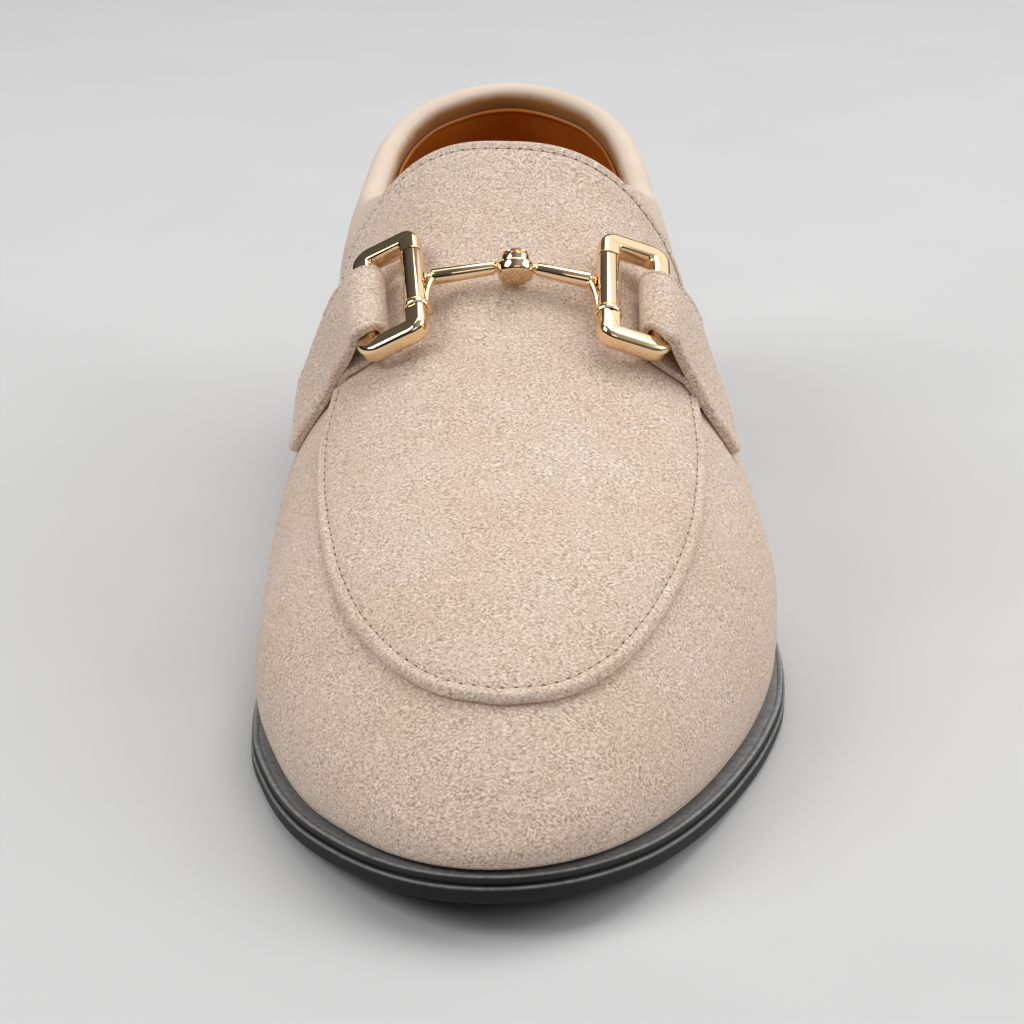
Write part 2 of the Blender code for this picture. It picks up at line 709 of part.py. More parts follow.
def build_joint():
    """Turned knuckle in the middle of the buckle: a wide front barrel and a narrower rear one."""
    centre, axis, up = joint_axes()
    front_wide, front_long = JOINT_FRONT
    rear_wide, rear_long = JOINT_REAR
    profile = [(-rear_long, rear_wide - 1.6), (-rear_long + 0.35, rear_wide - 0.5),
               (-rear_long + 0.9, rear_wide), (-0.5, rear_wide), (-0.2, rear_wide - 0.5),
               (0.1, front_wide - 0.5), (0.5, front_wide), (front_long - 0.5, front_wide),
               (front_long, front_wide - 0.8)]
    shell = Shell()
    places = [centre + axis * along for along, _ in profile]
    rings = turned(shell, places, axis, unit(np.cross(axis, up)), up, [w / 2 for _, w in profile], 18)
    shell.band(*rings)
    shell.face(*rings[0])
    shell.face(*rings[-1])
    shell.finish("centre_joint", "polished_gold", 30.0)


def build_rod(name):
    """Thin rod from the sleeve to the centre joint, necked at both ends."""
    seat = Seat(name)
    centre, axis, up = joint_axes()
    sleeve = seat.place(ROD_SHIFT, -(FRAME_WIDE - BAR) / 2, 0.0)
    middle = centre + axis * 0.8
    way = unit(middle - sleeve)
    start = sleeve + way * (SLEEVE_OUTER / 2 + GAP)
    end = middle - way * (JOINT_FRONT[0] / 2 + GAP)
    long = float(np.dot(end - start, way))
    neck = 1.1
    profile = [(0.0, ROD_NECK), (neck, ROD_NECK), (neck, ROD - 0.5), (neck + 0.3, ROD),
               (long - neck - 0.3, ROD), (long - neck, ROD - 0.5), (long - neck, ROD_NECK),
               (long, ROD_NECK)]
    across = unit(np.cross(way, up))
    shell = Shell()
    rings = turned(shell, [start + way * at for at, _ in profile], way, across,
                   unit(np.cross(across, way)), [w / 2 for _, w in profile], 12)
    shell.band(*rings)
    shell.face(*rings[0])
    shell.face(*rings[-1])
    shell.finish("rod_" + name, "polished_gold", 30.0)


def strap_line(name, edge):
    """Middle line of the strap at one edge: (distance down the side from the bar, height, thickness).

    It sags from the side of the upper to the outer bar, wraps it and tucks under itself.
    """
    meet = 65
    rear = edge == "rear"
    low = GAP + (STRAP_STAND[name] if rear else STRAP_STAND_FRONT) + STRAP_THICK / 2
    bend = BAR / 2 + GAP + STRAP_THICK / 2
    near = bend * math.cos(math.radians(meet))
    high = BAR_HEIGHT + bend * math.sin(math.radians(meet))
    line = []
    bow = STRAP_BOW[name] if rear else 0.0
    sag = STRAP_SAG[name] if rear else STRAP_SAG_FRONT
    for share in np.linspace(0, 1, 10)[:-1]:
        line.append((STRAP_LONG[name] + (near - STRAP_LONG[name]) * share,
                     low + (high - low) * share ** sag + bow * math.sin(math.pi * share),
                     STRAP_THICK))
    for degrees in (meet, 90, 120, 150, 180, 210, 240, 270):
        angle = math.radians(degrees)
        thick = STRAP_THICK + (STRAP_TUCK - STRAP_THICK) * (degrees - meet) / (270 - meet)
        bend = BAR / 2 + GAP + thick / 2
        line.append((bend * math.cos(angle), BAR_HEIGHT + bend * math.sin(angle), thick))
    return line + [(2.2, BAR_HEIGHT - bend, STRAP_TUCK), (4.4, BAR_HEIGHT - bend, STRAP_TUCK)]


def build_strap(name):
    """Doubled suede strap folded round the outer bar and stitched down the side."""
    seat = Seat(name)
    side = seat.side
    bar_side = (FRAME_WIDE - BAR) / 2
    rows = STRAPS[name]
    fine = np.linspace(seat.turn, 0.05, 300)
    line, front_line = (np.array(strap_line(name, edge)) for edge in ("rear", "front"))
    middle = []
    for (down, rear_height, _), (_, front_height, _) in zip(line, front_line):
        edges = [float(look_up(rows, edge, max(down, 0.0))) for edge in ("rear", "front")]
        run = []
        for across in np.linspace(0, 1, STRAP_COLUMNS + 1):
            station = edges[0] + (edges[1] - edges[0]) * across
            lean = float(ease(across))
            height = rear_height + (front_height - rear_height) * lean
            leave = STRAP_LEAVE[name] + (STRAP_LEAVE_FRONT - STRAP_LEAVE[name]) * lean
            rib = last(side, np.full_like(fine, station), fine)
            travel = np.concatenate([[0], np.cumsum(np.linalg.norm(np.diff(rib, axis=0), axis=1))])
            turn = float(np.interp(bar_side + max(down, 0.0), travel, fine))
            on_last = last(side, station, turn) + last_normal(side, station, turn) * height
            on_bar = seat.place(station - seat.station, bar_side + down, height - BAR_HEIGHT)
            share = float(ease((down - leave) / STRAP_LEAVE_LONG))
            run.append(on_bar * (1 - share) + on_last * share)
        middle.append(run)
    middle = np.array(middle)
    length_way = np.gradient(middle, axis=0)
    width_way = np.gradient(middle, axis=1)
    face_way = unit(np.cross(length_way, width_way)) * line[:, 2, None, None] / 2
    shell = Shell()
    front, back = shell.add(middle + face_way), shell.add(middle - face_way)
    shell.sheet(front)
    shell.sheet(back)
    rings = []
    for grid in (front, back):
        rings.append(list(grid[0]) + [row[-1] for row in grid[1:]] + list(grid[-1][-2::-1])
                     + [row[0] for row in grid[-2:0:-1]])
    shell.band(*rings)
    shell.finish("strap_" + name, "suede", 50.0)


build_outsole()
build_heel()
build_welt()
build_insole()
build_upper()
build_apron()
for buckle_side in SIDES:
    build_strap(buckle_side)
    build_frame(buckle_side)
    build_sleeve(buckle_side)
    build_rod(buckle_side)
build_joint()
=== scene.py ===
"""Left buckle loafer: a suede upper with a raised apron, a gold buckle and a thin black rubber sole.

Sizes are millimetres in the shoe's own terms. A station is the distance from the back of the heel
towards the toe, and a turn runs from the feather line (0) up to the crest (a quarter turn).
"""
import logging
import math
from dataclasses import dataclass, field
from enum import Enum
from typing import Callable, Optional, Sequence

import bmesh
import bpy
import numpy as np
from mathutils import Matrix, Vector
from mathutils.kdtree import KDTree


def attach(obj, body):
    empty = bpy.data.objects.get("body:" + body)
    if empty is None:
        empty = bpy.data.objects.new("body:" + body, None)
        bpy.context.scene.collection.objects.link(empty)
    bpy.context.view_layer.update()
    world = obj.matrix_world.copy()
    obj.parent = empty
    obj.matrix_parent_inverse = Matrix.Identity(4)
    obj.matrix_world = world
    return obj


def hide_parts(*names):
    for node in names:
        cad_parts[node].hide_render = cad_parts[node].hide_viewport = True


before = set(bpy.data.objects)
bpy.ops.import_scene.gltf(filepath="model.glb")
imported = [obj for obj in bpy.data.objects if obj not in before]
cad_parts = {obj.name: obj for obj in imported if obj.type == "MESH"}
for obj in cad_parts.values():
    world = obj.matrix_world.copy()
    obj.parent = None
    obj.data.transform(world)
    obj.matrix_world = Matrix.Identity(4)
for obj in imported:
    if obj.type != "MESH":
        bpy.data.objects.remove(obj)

MM = 0.001
BODY = "root"
CREST = math.pi / 2
WELD = 2e-6
SLIVER = 1e-7
LOG = logging.getLogger("loafer")


class Side(Enum):
    """The two sides of the shoe, with the sign of X that each lies on."""

    MEDIAL = -1
    LATERAL = 1

    @property
    def label(self) -> str:
        """Lower-case name of the side, as the CAD nodes use it."""
        return self.name.lower()

    def pick(self, medial: object, lateral: object) -> object:
        """The one of two values that belongs to this side."""
        return medial if self is Side.MEDIAL else lateral


class Slot(Enum):
    """Material slots of the record."""

    SUEDE = "suede"
    LEATHER = "tan_leather"
    RUBBER = "black_rubber"
    GOLD = "polished_gold"


def smooth(x: np.ndarray, xs: Sequence[float], ys: Sequence[float]) -> np.ndarray:
    """Shape-keeping cubic through the rows of a table.

    Args:
        x: places to read the table at.
        xs: rising places of the rows.
        ys: values of the rows.

    Returns:
        The values at x, held at both ends.
    """
    xs, ys = np.asarray(xs, float), np.asarray(ys, float)
    x = np.clip(np.asarray(x, float), xs[0], xs[-1])
    step = np.diff(xs)
    rise = np.diff(ys) / step
    slope = np.zeros_like(ys)
    slope[0], slope[-1] = rise[0], rise[-1]
    for i in range(1, len(xs) - 1):
        if rise[i - 1] * rise[i] > 0:
            before, after = 2 * step[i] + step[i - 1], step[i] + 2 * step[i - 1]
            slope[i] = (before + after) / (before / rise[i - 1] + after / rise[i])
    i = np.clip(np.searchsorted(xs, x, side="right") - 1, 0, len(step) - 1)
    t = (x - xs[i]) / step[i]
    return (ys[i] * (1 + 2 * t) * (1 - t) ** 2 + ys[i + 1] * t * t * (3 - 2 * t)
            + step[i] * t * (1 - t) * (slope[i] * (1 - t) - slope[i + 1] * t))


def ease(x: np.ndarray) -> np.ndarray:
    """Soft step from 0 to 1."""
    x = np.clip(x, 0.0, 1.0)
    return x * x * (3 - 2 * x)


def hump(x: np.ndarray, width: float) -> np.ndarray:
    """Soft bump of height 1 at 0, falling away over the width."""
    return np.exp(-(np.asarray(x, float) / width) ** 2)


def unit(vectors: np.ndarray) -> np.ndarray:
    """Vectors scaled to length 1."""
    return vectors / np.maximum(np.linalg.norm(vectors, axis=-1, keepdims=True), 1e-12)


def along_line(points: np.ndarray) -> np.ndarray:
    """Distance travelled along a line of points, from 0."""
    steps = np.linalg.norm(np.diff(points, axis=0), axis=1)
    return np.concatenate([[0.0], np.cumsum(steps)])


def read_line(at: np.ndarray, run: np.ndarray, points: np.ndarray) -> np.ndarray:
    """Points between the rows of a line, at distances along it."""
    return np.stack([np.interp(at, run, points[:, k]) for k in range(3)], -1)


@dataclass(frozen=True)
class Last:
    """The wooden form of the foot: the outer surface of the upper and the outline of the sole."""

    length: float = 266.0
    centre_x: float = 1.01
    feather_rise: float = 5.3
    heel_lift: float = 14.0
    seat_end: float = 45.0
    ball_start: float = 160.0
    ball_end: float = 213.0
    toe_spring: float = 6.3
    spring_power: float = 1.8
    throat: float = 109.0
    tongue_edge: float = 103.5
    # station, half widths medial and lateral, ledge, swell medial and lateral, fullness
    sections: tuple = (
        (2.5, 0.0, 0.0, 2.5, 2.0, 2.0, 3.05), (9.0, 17.5, 17.2, 2.5, 2.2, 2.1, 3.05),
        (20.0, 27.6, 27.0, 2.4, 2.6, 2.3, 3.05),
        (30.0, 30.9, 30.1, 2.3, 3.0, 2.5, 3.1), (40.0, 31.8, 30.8, 2.2, 3.5, 2.8, 3.2),
        (65.0, 32.2, 31.5, 2.0, 5.0, 3.3, 3.25), (95.0, 32.5, 34.0, 2.0, 6.5, 3.2, 2.9),
        (125.0, 36.0, 38.5, 2.2, 7.0, 2.6, 2.8), (150.0, 41.2, 45.0, 2.7, 6.0, 2.2, 2.65),
        (170.0, 43.6, 47.0, 3.2, 4.3, 2.2, 2.55), (190.0, 44.7, 45.3, 3.4, 3.0, 2.0, 2.5),
        (205.0, 43.7, 41.5, 3.4, 2.8, 2.0, 2.5), (220.0, 39.5, 36.0, 3.4, 2.6, 2.2, 2.5),
        (235.0, 33.0, 29.5, 3.3, 2.6, 2.4, 2.5), (248.0, 24.0, 22.5, 3.1, 2.6, 2.5, 2.45),
        (257.0, 15.5, 15.0, 2.8, 2.6, 2.6, 2.4), (263.2, 0.0, 0.0, 2.8, 2.6, 2.6, 2.4))
    # station, side bend of the middle line, height of the crest
    middles: tuple = (
        (0.0, -1.1, 89.0), (40.0, -1.0, 94.5), (80.0, -0.8, 94.5), (102.0, -0.6, 86.0),
        (115.0, -0.6, 78.5), (130.0, -0.4, 70.0), (145.0, -0.1, 62.5), (160.0, 0.0, 56.5),
        (180.0, 0.0, 50.0), (200.0, -0.2, 45.0), (220.0, -1.0, 39.5), (235.0, -1.9, 34.5),
        (246.0, -2.8, 30.6), (256.0, -3.8, 26.2), (264.0, -4.7, 20.5))
    # station on the feather line, station where that rib meets the crest
    rib_rows: tuple = ((2.5, 30.0), (30.0, 40.0), (60.0, 60.0), (110.0, 110.0), (200.0, 194.0),
                       (263.2, 231.0))
    # station, height of the collar's top line
    collars: tuple = ((0.0, 77.4), (12.0, 74.5), (35.0, 67.8), (60.0, 65.1), (80.0, 66.3),
                      (92.0, 70.8), (102.0, 76.5), (109.0, 81.8))
    # station, turns of the apron's edge medial and lateral
    apron_edges: tuple = (
        (103.5, 0.66, 0.73), (105.5, 0.56, 0.63), (108.5, 0.50, 0.57), (113.0, 0.485, 0.555),
        (120.0, 0.535, 0.625), (130.0, 0.645, 0.74), (145.0, 0.74, 0.85), (160.0, 0.71, 0.855),
        (175.0, 0.73, 0.855), (190.0, 0.78, 0.86), (207.0, 0.83, 0.86), (222.0, 0.86, 0.87),
        (238.0, 0.935, 0.92), (247.0, 0.995, 0.985), (253.0, 1.055, 1.045), (258.0, 1.125, 1.115),
        (261.3, 1.18, 1.175), (263.2, 1.205, 1.205))

    @staticmethod
    def read(table: tuple, column: int, station: np.ndarray) -> np.ndarray:
        """One column of a table, read at any station."""
        rows = np.asarray(table)
        return smooth(station, rows[:, 0], rows[:, column])

    @property
    def heel_end(self) -> float:
        """Station of the feather line at the back of the heel."""
        return self.sections[0][0]

    @property
    def toe_end(self) -> float:
        """Station of the feather line at the toe."""
        return self.sections[-1][0]

    def turn_of(self, station: np.ndarray) -> np.ndarray:
        """Angle round the plan outline, 0 at the heel and pi at the toe."""
        share = (np.asarray(station, float) - self.heel_end) / (self.toe_end - self.heel_end)
        return np.arccos(np.clip(1 - 2 * share, -1, 1))

    def station_of(self, angle: np.ndarray) -> np.ndarray:
        """Feather station at an angle round the plan outline."""
        return self.heel_end + (self.toe_end - self.heel_end) * (1 - np.cos(angle)) / 2

    def bend(self, station: np.ndarray) -> np.ndarray:
        """Side bend of the middle line."""
        return self.read(self.middles, 1, station)

    def ledge(self, station: np.ndarray) -> np.ndarray:
        """How far the sole stands out from the feather line."""
        return self.read(self.sections, 3, station)

    def plan(self, side: Side, angle: np.ndarray) -> tuple[np.ndarray, np.ndarray]:
        """Feather line in plan: sideways place and station."""
        rows = np.asarray(self.sections)
        width = smooth(angle, self.turn_of(rows[:, 0]), rows[:, side.pick(1, 2)])
        station = self.station_of(angle)
        return self.bend(station) + side.value * width, station

    def plan_normal(self, side: Side, angle: np.ndarray) -> tuple[np.ndarray, np.ndarray]:
        """Outward normal of the feather line in plan: sideways and along the station."""
        angle = np.asarray(angle, float)
        reach = 0.03
        x_a, s_a = self.plan(side, np.clip(angle - reach, 0, math.pi))
        x_b, s_b = self.plan(side, np.clip(angle + reach, 0, math.pi))
        along = np.where((angle < 1e-6) | (angle > math.pi - 1e-6), 0.0, s_b - s_a)
        across = x_b - x_a
        length = np.hypot(along, across)
        return side.value * along / length, -side.value * across / length

    def underside(self, station: np.ndarray) -> np.ndarray:
        """Height of the sole's underside: heel seat, waist, flat ball and toe spring."""
        waist = np.clip((station - self.seat_end) / (self.ball_start - self.seat_end), 0, 1)
        spring = np.clip((station - self.ball_end) / (self.length - self.ball_end), 0, 1.1)
        return (self.heel_lift * (0.5 + 0.5 * np.cos(math.pi * waist))
                + self.toe_spring * spring ** self.spring_power)

    def place(self, x: np.ndarray, station: np.ndarray, z: np.ndarray) -> np.ndarray:
        """Sideways place, station and height as points of the part's frame."""
        return np.stack(np.broadcast_arrays(x - self.centre_x, self.length / 2 - station, z), -1)

    def point(self, side: Side, station: np.ndarray, turn: np.ndarray) -> np.ndarray:
        """Outer surface of the upper.

        Args:
            side: side of the shoe.
            station: feather stations of the ribs.
            turn: turns up the ribs.

        Returns:
            Points in the part's frame.
        """
        station, turn = np.broadcast_arrays(np.asarray(station, float), np.asarray(turn, float))
        angle = self.turn_of(station)
        x_foot, _ = self.plan(side, angle)
        out_x, out_s = self.plan_normal(side, angle)
        power = 2 / self.read(self.sections, 6, station)
        inward = 1 - np.maximum(np.cos(turn), 0) ** power
        upward = np.sin(turn) ** power
        crest_station = self.read(self.rib_rows, 1, station)
        x = x_foot + (self.bend(crest_station) - x_foot) * inward
        along = station + (crest_station - station) * inward
        foot = self.feather_rise + self.underside(station)
        z = foot + (self.read(self.middles, 2, along) - foot) * upward
        swell = self.read(self.sections, side.pick(4, 5), station) * 6.75 * upward * (1 - upward) ** 2
        return self.place(x + out_x * swell, along + out_s * swell, z)

    def normal(self, side: Side, station: np.ndarray, turn: np.ndarray) -> np.ndarray:
        """Outward normal of the surface, the mean of both sides on the lines that they share."""
        station, turn = np.broadcast_arrays(np.asarray(station, float), np.asarray(turn, float))
        angle = self.turn_of(station)
        reach = 0.012
        beside = np.minimum(turn, CREST - 5 * reach)
        total = np.zeros(station.shape + (3,))
        for part in Side:
            fore = self.point(part, self.station_of(np.clip(angle + reach, 0, math.pi)), beside)
            aft = self.point(part, self.station_of(np.clip(angle - reach, 0, math.pi)), beside)
            top = self.point(part, station, beside + reach)
            low = self.point(part, station, np.maximum(beside - reach, 0))
            normal = unit(part.value * np.cross(top - low, fore - aft))
            shared = (turn > CREST - 1e-6) | (angle < 1e-6) | (angle > math.pi - 1e-6)
            total += np.where((shared | (part is side))[..., None], normal, 0.0)
        return unit(total)

    def walk(self, side: Side, station: float, start: float, end: float, steps: int,
             near: Sequence[float] = (), far: Sequence[float] = ()) -> np.ndarray:
        """Turns up one rib, evenly spaced along the surface, with closer steps at the ends.

        Args:
            side: side of the shoe.
            station: feather station of the rib.
            start: first turn.
            end: last turn.
            steps: number of even steps between the closer ones.
            near: distances of extra points from the start.
            far: distances of extra points from the end.

        Returns:
            The turns, from start to end.
        """
        fine = np.linspace(start, end, 160)
        run = along_line(self.point(side, np.full_like(fine, station), fine))
        total = run[-1]
        first = near[-1] if near else 0.0
        final = total - (far[-1] if far else 0.0)
        marks = np.concatenate([[0.0] if near else [], near[:-1], np.linspace(first, final, steps + 1),
                                [total - d for d in reversed(far[:-1])], [total] if far else []])
        return np.interp(marks, run, fine)

    def collar_turn(self, side: Side, station: float) -> float:
        """Turn at which a rib reaches the collar's top line, or the crest past the throat."""
        if station >= self.throat:
            return CREST
        fine = np.linspace(0.05, CREST, 400)
        points = self.point(side, np.full_like(fine, station), fine)
        above = points[:, 2] - self.read(self.collars, 1, self.length / 2 - points[:, 1])
        first = int(np.argmax(above > 0))
        if above[first] <= 0:
            return CREST
        share = above[first] / (above[first] - above[first - 1])
        return fine[first] - share * (fine[first] - fine[first - 1])

    def apron_turn(self, side: Side, station: np.ndarray) -> np.ndarray:
        """Turn at which the apron's edge crosses a rib."""
        return self.read(self.apron_edges, side.pick(1, 2), station)

    def outline(self, outward: Callable | float, height: Callable | float, steps: int,
                end_angle: float = math.pi) -> np.ndarray:
        """Closed ring round the sole, out from the feather line in plan.

        Args:
            outward: distance outside the feather line, or a function of the station.
            height: height over the underside, or a function of the station.
            steps: number of steps along each side.
            end_angle: where the ring turns back, pi for the whole sole.

        Returns:
            Points from the heel along the medial side and back along the lateral side, closed.
        """
        angles = np.linspace(0, end_angle, steps + 1)
        back = angles[::-1] if end_angle < math.pi else angles[::-1][1:]
        rows = []
        for side, part in ((Side.MEDIAL, angles), (Side.LATERAL, back)):
            x, station = self.plan(side, part)
            out_x, out_s = self.plan_normal(side, part)
            push = outward(station) if callable(outward) else outward
            along = station + out_s * push
            rise = height(station) if callable(height) else height
            rows.append(self.place(x + out_x * push, along, self.underside(along) + rise))
        return np.concatenate(rows)

    def towards_middle(self, ring: np.ndarray, share: float) -> np.ndarray:
        """A ring drawn in sideways towards the middle line, all the way at share 1."""
        drawn = ring.copy()
        middle = self.bend(self.length / 2 - ring[:, 1]) - self.centre_x
        drawn[:, 0] += (middle - ring[:, 0]) * share
        return drawn


class Bench:
    """The modelling bench: Blender's tools used as by hand, in millimetres."""

    @staticmethod
    def clear() -> None:
        """Leave nothing selected, so that a tool acts on the new piece alone."""
        if bpy.context.object and bpy.context.object.mode != "OBJECT":
            bpy.ops.object.mode_set(mode="OBJECT")
        bpy.ops.object.select_all(action="DESELECT")

    @classmethod
    def only(cls, piece: bpy.types.Object) -> None:
        """Leave one piece selected and active."""
        cls.clear()
        piece.select_set(True)
        bpy.context.view_layer.objects.active = piece

    @staticmethod
    def edit_all(piece: bpy.types.Object, *tools: Callable) -> None:
        """Use editing tools in turn, each on the whole of a piece."""
        bpy.context.view_layer.objects.active = piece
        bpy.ops.object.mode_set(mode="EDIT")
        for tool in tools:
            bpy.ops.mesh.select_all(action="SELECT")
            tool()
        bpy.ops.object.mode_set(mode="OBJECT")

    @staticmethod
    def face_out() -> None:
        """Turn the selected faces outward."""
        bpy.ops.mesh.normals_make_consistent(inside=False)

    @classmethod
    def sheets(cls, name: str, grids: Sequence[np.ndarray],
               marks: Optional[Sequence[np.ndarray]] = None) -> bpy.types.Object:
        """Grid primitives drawn into shape and sewn together where their edges meet.

        Args:
            name: name of the piece.
            grids: arrays of points in rows and columns, in millimetres.
            marks: one number for each point, kept as the attribute "mark".

        Returns:
            The piece as an open or closed mesh.
        """
        cls.clear()
        for i, grid in enumerate(grids):
            rows, columns = grid.shape[:2]
            bpy.ops.mesh.primitive_grid_add(x_subdivisions=columns - 1, y_subdivisions=rows - 1)
            if i == 0:
                piece = bpy.context.object
                bpy.ops.object.mode_set(mode="EDIT")
        bpy.ops.object.mode_set(mode="OBJECT")
        piece.name = piece.data.name = name
        points = np.concatenate([grid.reshape(-1, 3) for grid in grids]) * MM
        piece.data.vertices.foreach_set("co", points.astype(np.float32).ravel())
        piece.location = (0.0, 0.0, 0.0)
        if marks is not None:
            layer = piece.data.attributes.new("mark", "FLOAT", "POINT")
            values = np.concatenate([mark.ravel() for mark in marks])
            layer.data.foreach_set("value", values.astype(np.float32))
        cls.edit_all(piece, lambda: bpy.ops.mesh.remove_doubles(threshold=WELD),
                     lambda: bpy.ops.mesh.dissolve_degenerate(threshold=SLIVER), cls.face_out)
        return piece

    @staticmethod
    def edit(piece: bpy.types.Object, choose: Callable[[bmesh.types.BMEdge], bool]) -> None:
        """Open a piece for editing with only the chosen edges selected."""
        bpy.context.view_layer.objects.active = piece
        if piece.mode != "EDIT":
            bpy.ops.object.mode_set(mode="EDIT")
        bpy.ops.mesh.select_mode(type="EDGE")
        bpy.ops.mesh.select_all(action="DESELECT")
        mesh = bmesh.from_edit_mesh(piece.data)
        for edge in mesh.edges:
            edge.select_set(choose(edge))
        bmesh.update_edit_mesh(piece.data)

    @classmethod
    def facing(cls, piece: bpy.types.Object, way: Callable[[np.ndarray], np.ndarray]) -> None:
        """Turn an open sheet over if most of it faces against the given directions.

        Args:
            piece: the sheet.
            way: function from face middles to the directions that the faces should have.
        """
        count = len(piece.data.polygons)
        middles, normals = np.empty(count * 3), np.empty(count * 3)
        piece.data.polygons.foreach_get("center", middles)
        piece.data.polygons.foreach_get("normal", normals)
        wanted = way(middles.reshape(-1, 3) / MM)
        if np.sum(normals.reshape(-1, 3) * wanted) < 0:
            cls.edit_all(piece, bpy.ops.mesh.flip_normals)

    @classmethod
    def apply(cls, piece: bpy.types.Object, kind: str, **settings: object) -> None:
        """Add a modifier with its settings and apply it."""
        cls.only(piece)
        modifier = piece.modifiers.new(kind.title(), kind)
        for name, value in settings.items():
            setattr(modifier, name, value)
        bpy.ops.object.modifier_apply(modifier=modifier.name)

    @classmethod
    def dress(cls, piece: bpy.types.Object, material: bpy.types.Material, slot: Slot,
              replaced: Sequence[str] = (), angle: float = 40.0) -> bpy.types.Object:
        """Give a finished piece its smooth shading, material and body, and hide the nodes it replaces."""
        cls.only(piece)
        bpy.ops.object.shade_smooth_by_angle(angle=math.radians(angle))
        piece.data.materials.clear()
        piece.data.materials.append(material)
        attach(piece, BODY)
        if replaced:
            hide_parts(*replaced)
        LOG.info("%s: %d faces", piece.name, len(piece.data.polygons))
        return piece

    @classmethod
    def turned(cls, name: str, profile: Sequence[tuple[float, float]], axes: Matrix,
               sides: int = 40, closed: bool = False) -> bpy.types.Object:
        """A turned piece: a profile swept round the local X axis.

        Args:
            name: name of the piece.
            profile: places along the axis and diameters.
            axes: millimetre placing of the local axes in the part's frame.
            sides: number of sides.
            closed: whether the profile runs back to its start, as a tube's does.

        Returns:
            The closed piece.
        """
        rows = list(profile)
        if closed:
            rows.append(rows[0])
        else:
            rows = [(rows[0][0], 0.0)] + rows + [(rows[-1][0], 0.0)]
        angles = np.linspace(0, 2 * math.pi, sides + 1)
        along, wide = (np.array(column)[:, None] for column in zip(*rows))
        radius = wide / 2
        grid = np.stack(np.broadcast_arrays(along, radius * np.cos(angles), radius * np.sin(angles)), -1)
        matrix = np.array(axes)
        grid = grid @ matrix[:3, :3].T + matrix[:3, 3]
        return cls.sheets(name, [grid])

    @classmethod
    def copies(cls, name: str, stamp: bpy.types.Object, places: Sequence[Matrix]) -> bpy.types.Object:
        """One mesh of many copies of a small modelled piece.

        Args:
            name: name of the joined piece.
            stamp: the small piece, in millimetres at the origin; it is used up.
            places: millimetre placings of the copies.

        Returns:
            The joined piece.
        """
        corners = np.array([v.co[:] for v in stamp.data.vertices])
        faces = [tuple(p.vertices) for p in stamp.data.polygons]
        points, polygons = [], []
        for i, matrix in enumerate(places):
            m = np.array(matrix)
            points.append(corners @ m[:3, :3].T + m[:3, 3])
            polygons.extend(tuple(k + i * len(corners) for k in face) for face in faces)
        data = bpy.data.meshes.new(name)
        data.from_pydata((np.concatenate(points) * MM).tolist(), [], polygons)
        data.update()
        bpy.data.objects.remove(stamp, do_unlink=True)
        piece = bpy.data.objects.new(name, data)
        bpy.context.scene.collection.objects.link(piece)
        return piece


def axes_matrix(along: np.ndarray, across: np.ndarray, up: np.ndarray, at: np.ndarray) -> Matrix:
    """Placing with the given local X, Y and Z axes and origin."""
    made = Matrix.Identity(4)
    for column, vector in enumerate((along, across, up, at)):
        for row in range(3):
            made[row][column] = float(vector[row])
    return made


def linear(code: str) -> tuple[float, float, float, float]:
    """An sRGB hex colour as linear red, green, blue and alpha."""
    parts = [int(code[i:i + 2], 16) / 255 for i in (1, 3, 5)]
    return tuple(c / 12.92 if c <= 0.04045 else ((c + 0.055) / 1.055) ** 2.4 for c in parts) + (1.0,)


def add_node(tree: bpy.types.NodeTree, kind: str, inputs: Optional[dict] = None,
             ramp: Sequence[tuple[float, str]] = (), **settings: object) -> bpy.types.Node:
    """Add one node with its settings and links.

    Args:
        tree: node tree to add to.
        kind: Blender's name of the node.
        inputs: socket names or numbers, with a value or a pair of (node, output) to link.
        ramp: stops of a colour ramp, as places and hex colours.
        settings: the node's own settings.

    Returns:
        The new node.
    """
    node = tree.nodes.new(kind)
    for name, value in settings.items():
        setattr(node, name, value)
    for key, value in (inputs or {}).items():
        if isinstance(value, tuple) and isinstance(value[0], bpy.types.Node):
            tree.links.new(value[0].outputs[value[1]], node.inputs[key])
        else:
            node.inputs[key].default_value = value
    for i, (at, colour) in enumerate(ramp):
        stops = node.color_ramp.elements
        stop = stops[i] if i < 2 else stops.new(at)
        stop.position = at
        stop.color = linear(colour)
    return node


def per_metre(size_mm: float) -> float:
    """Texture scale of a pattern whose cells are about the given size."""
    return 1.0 / (size_mm * MM)


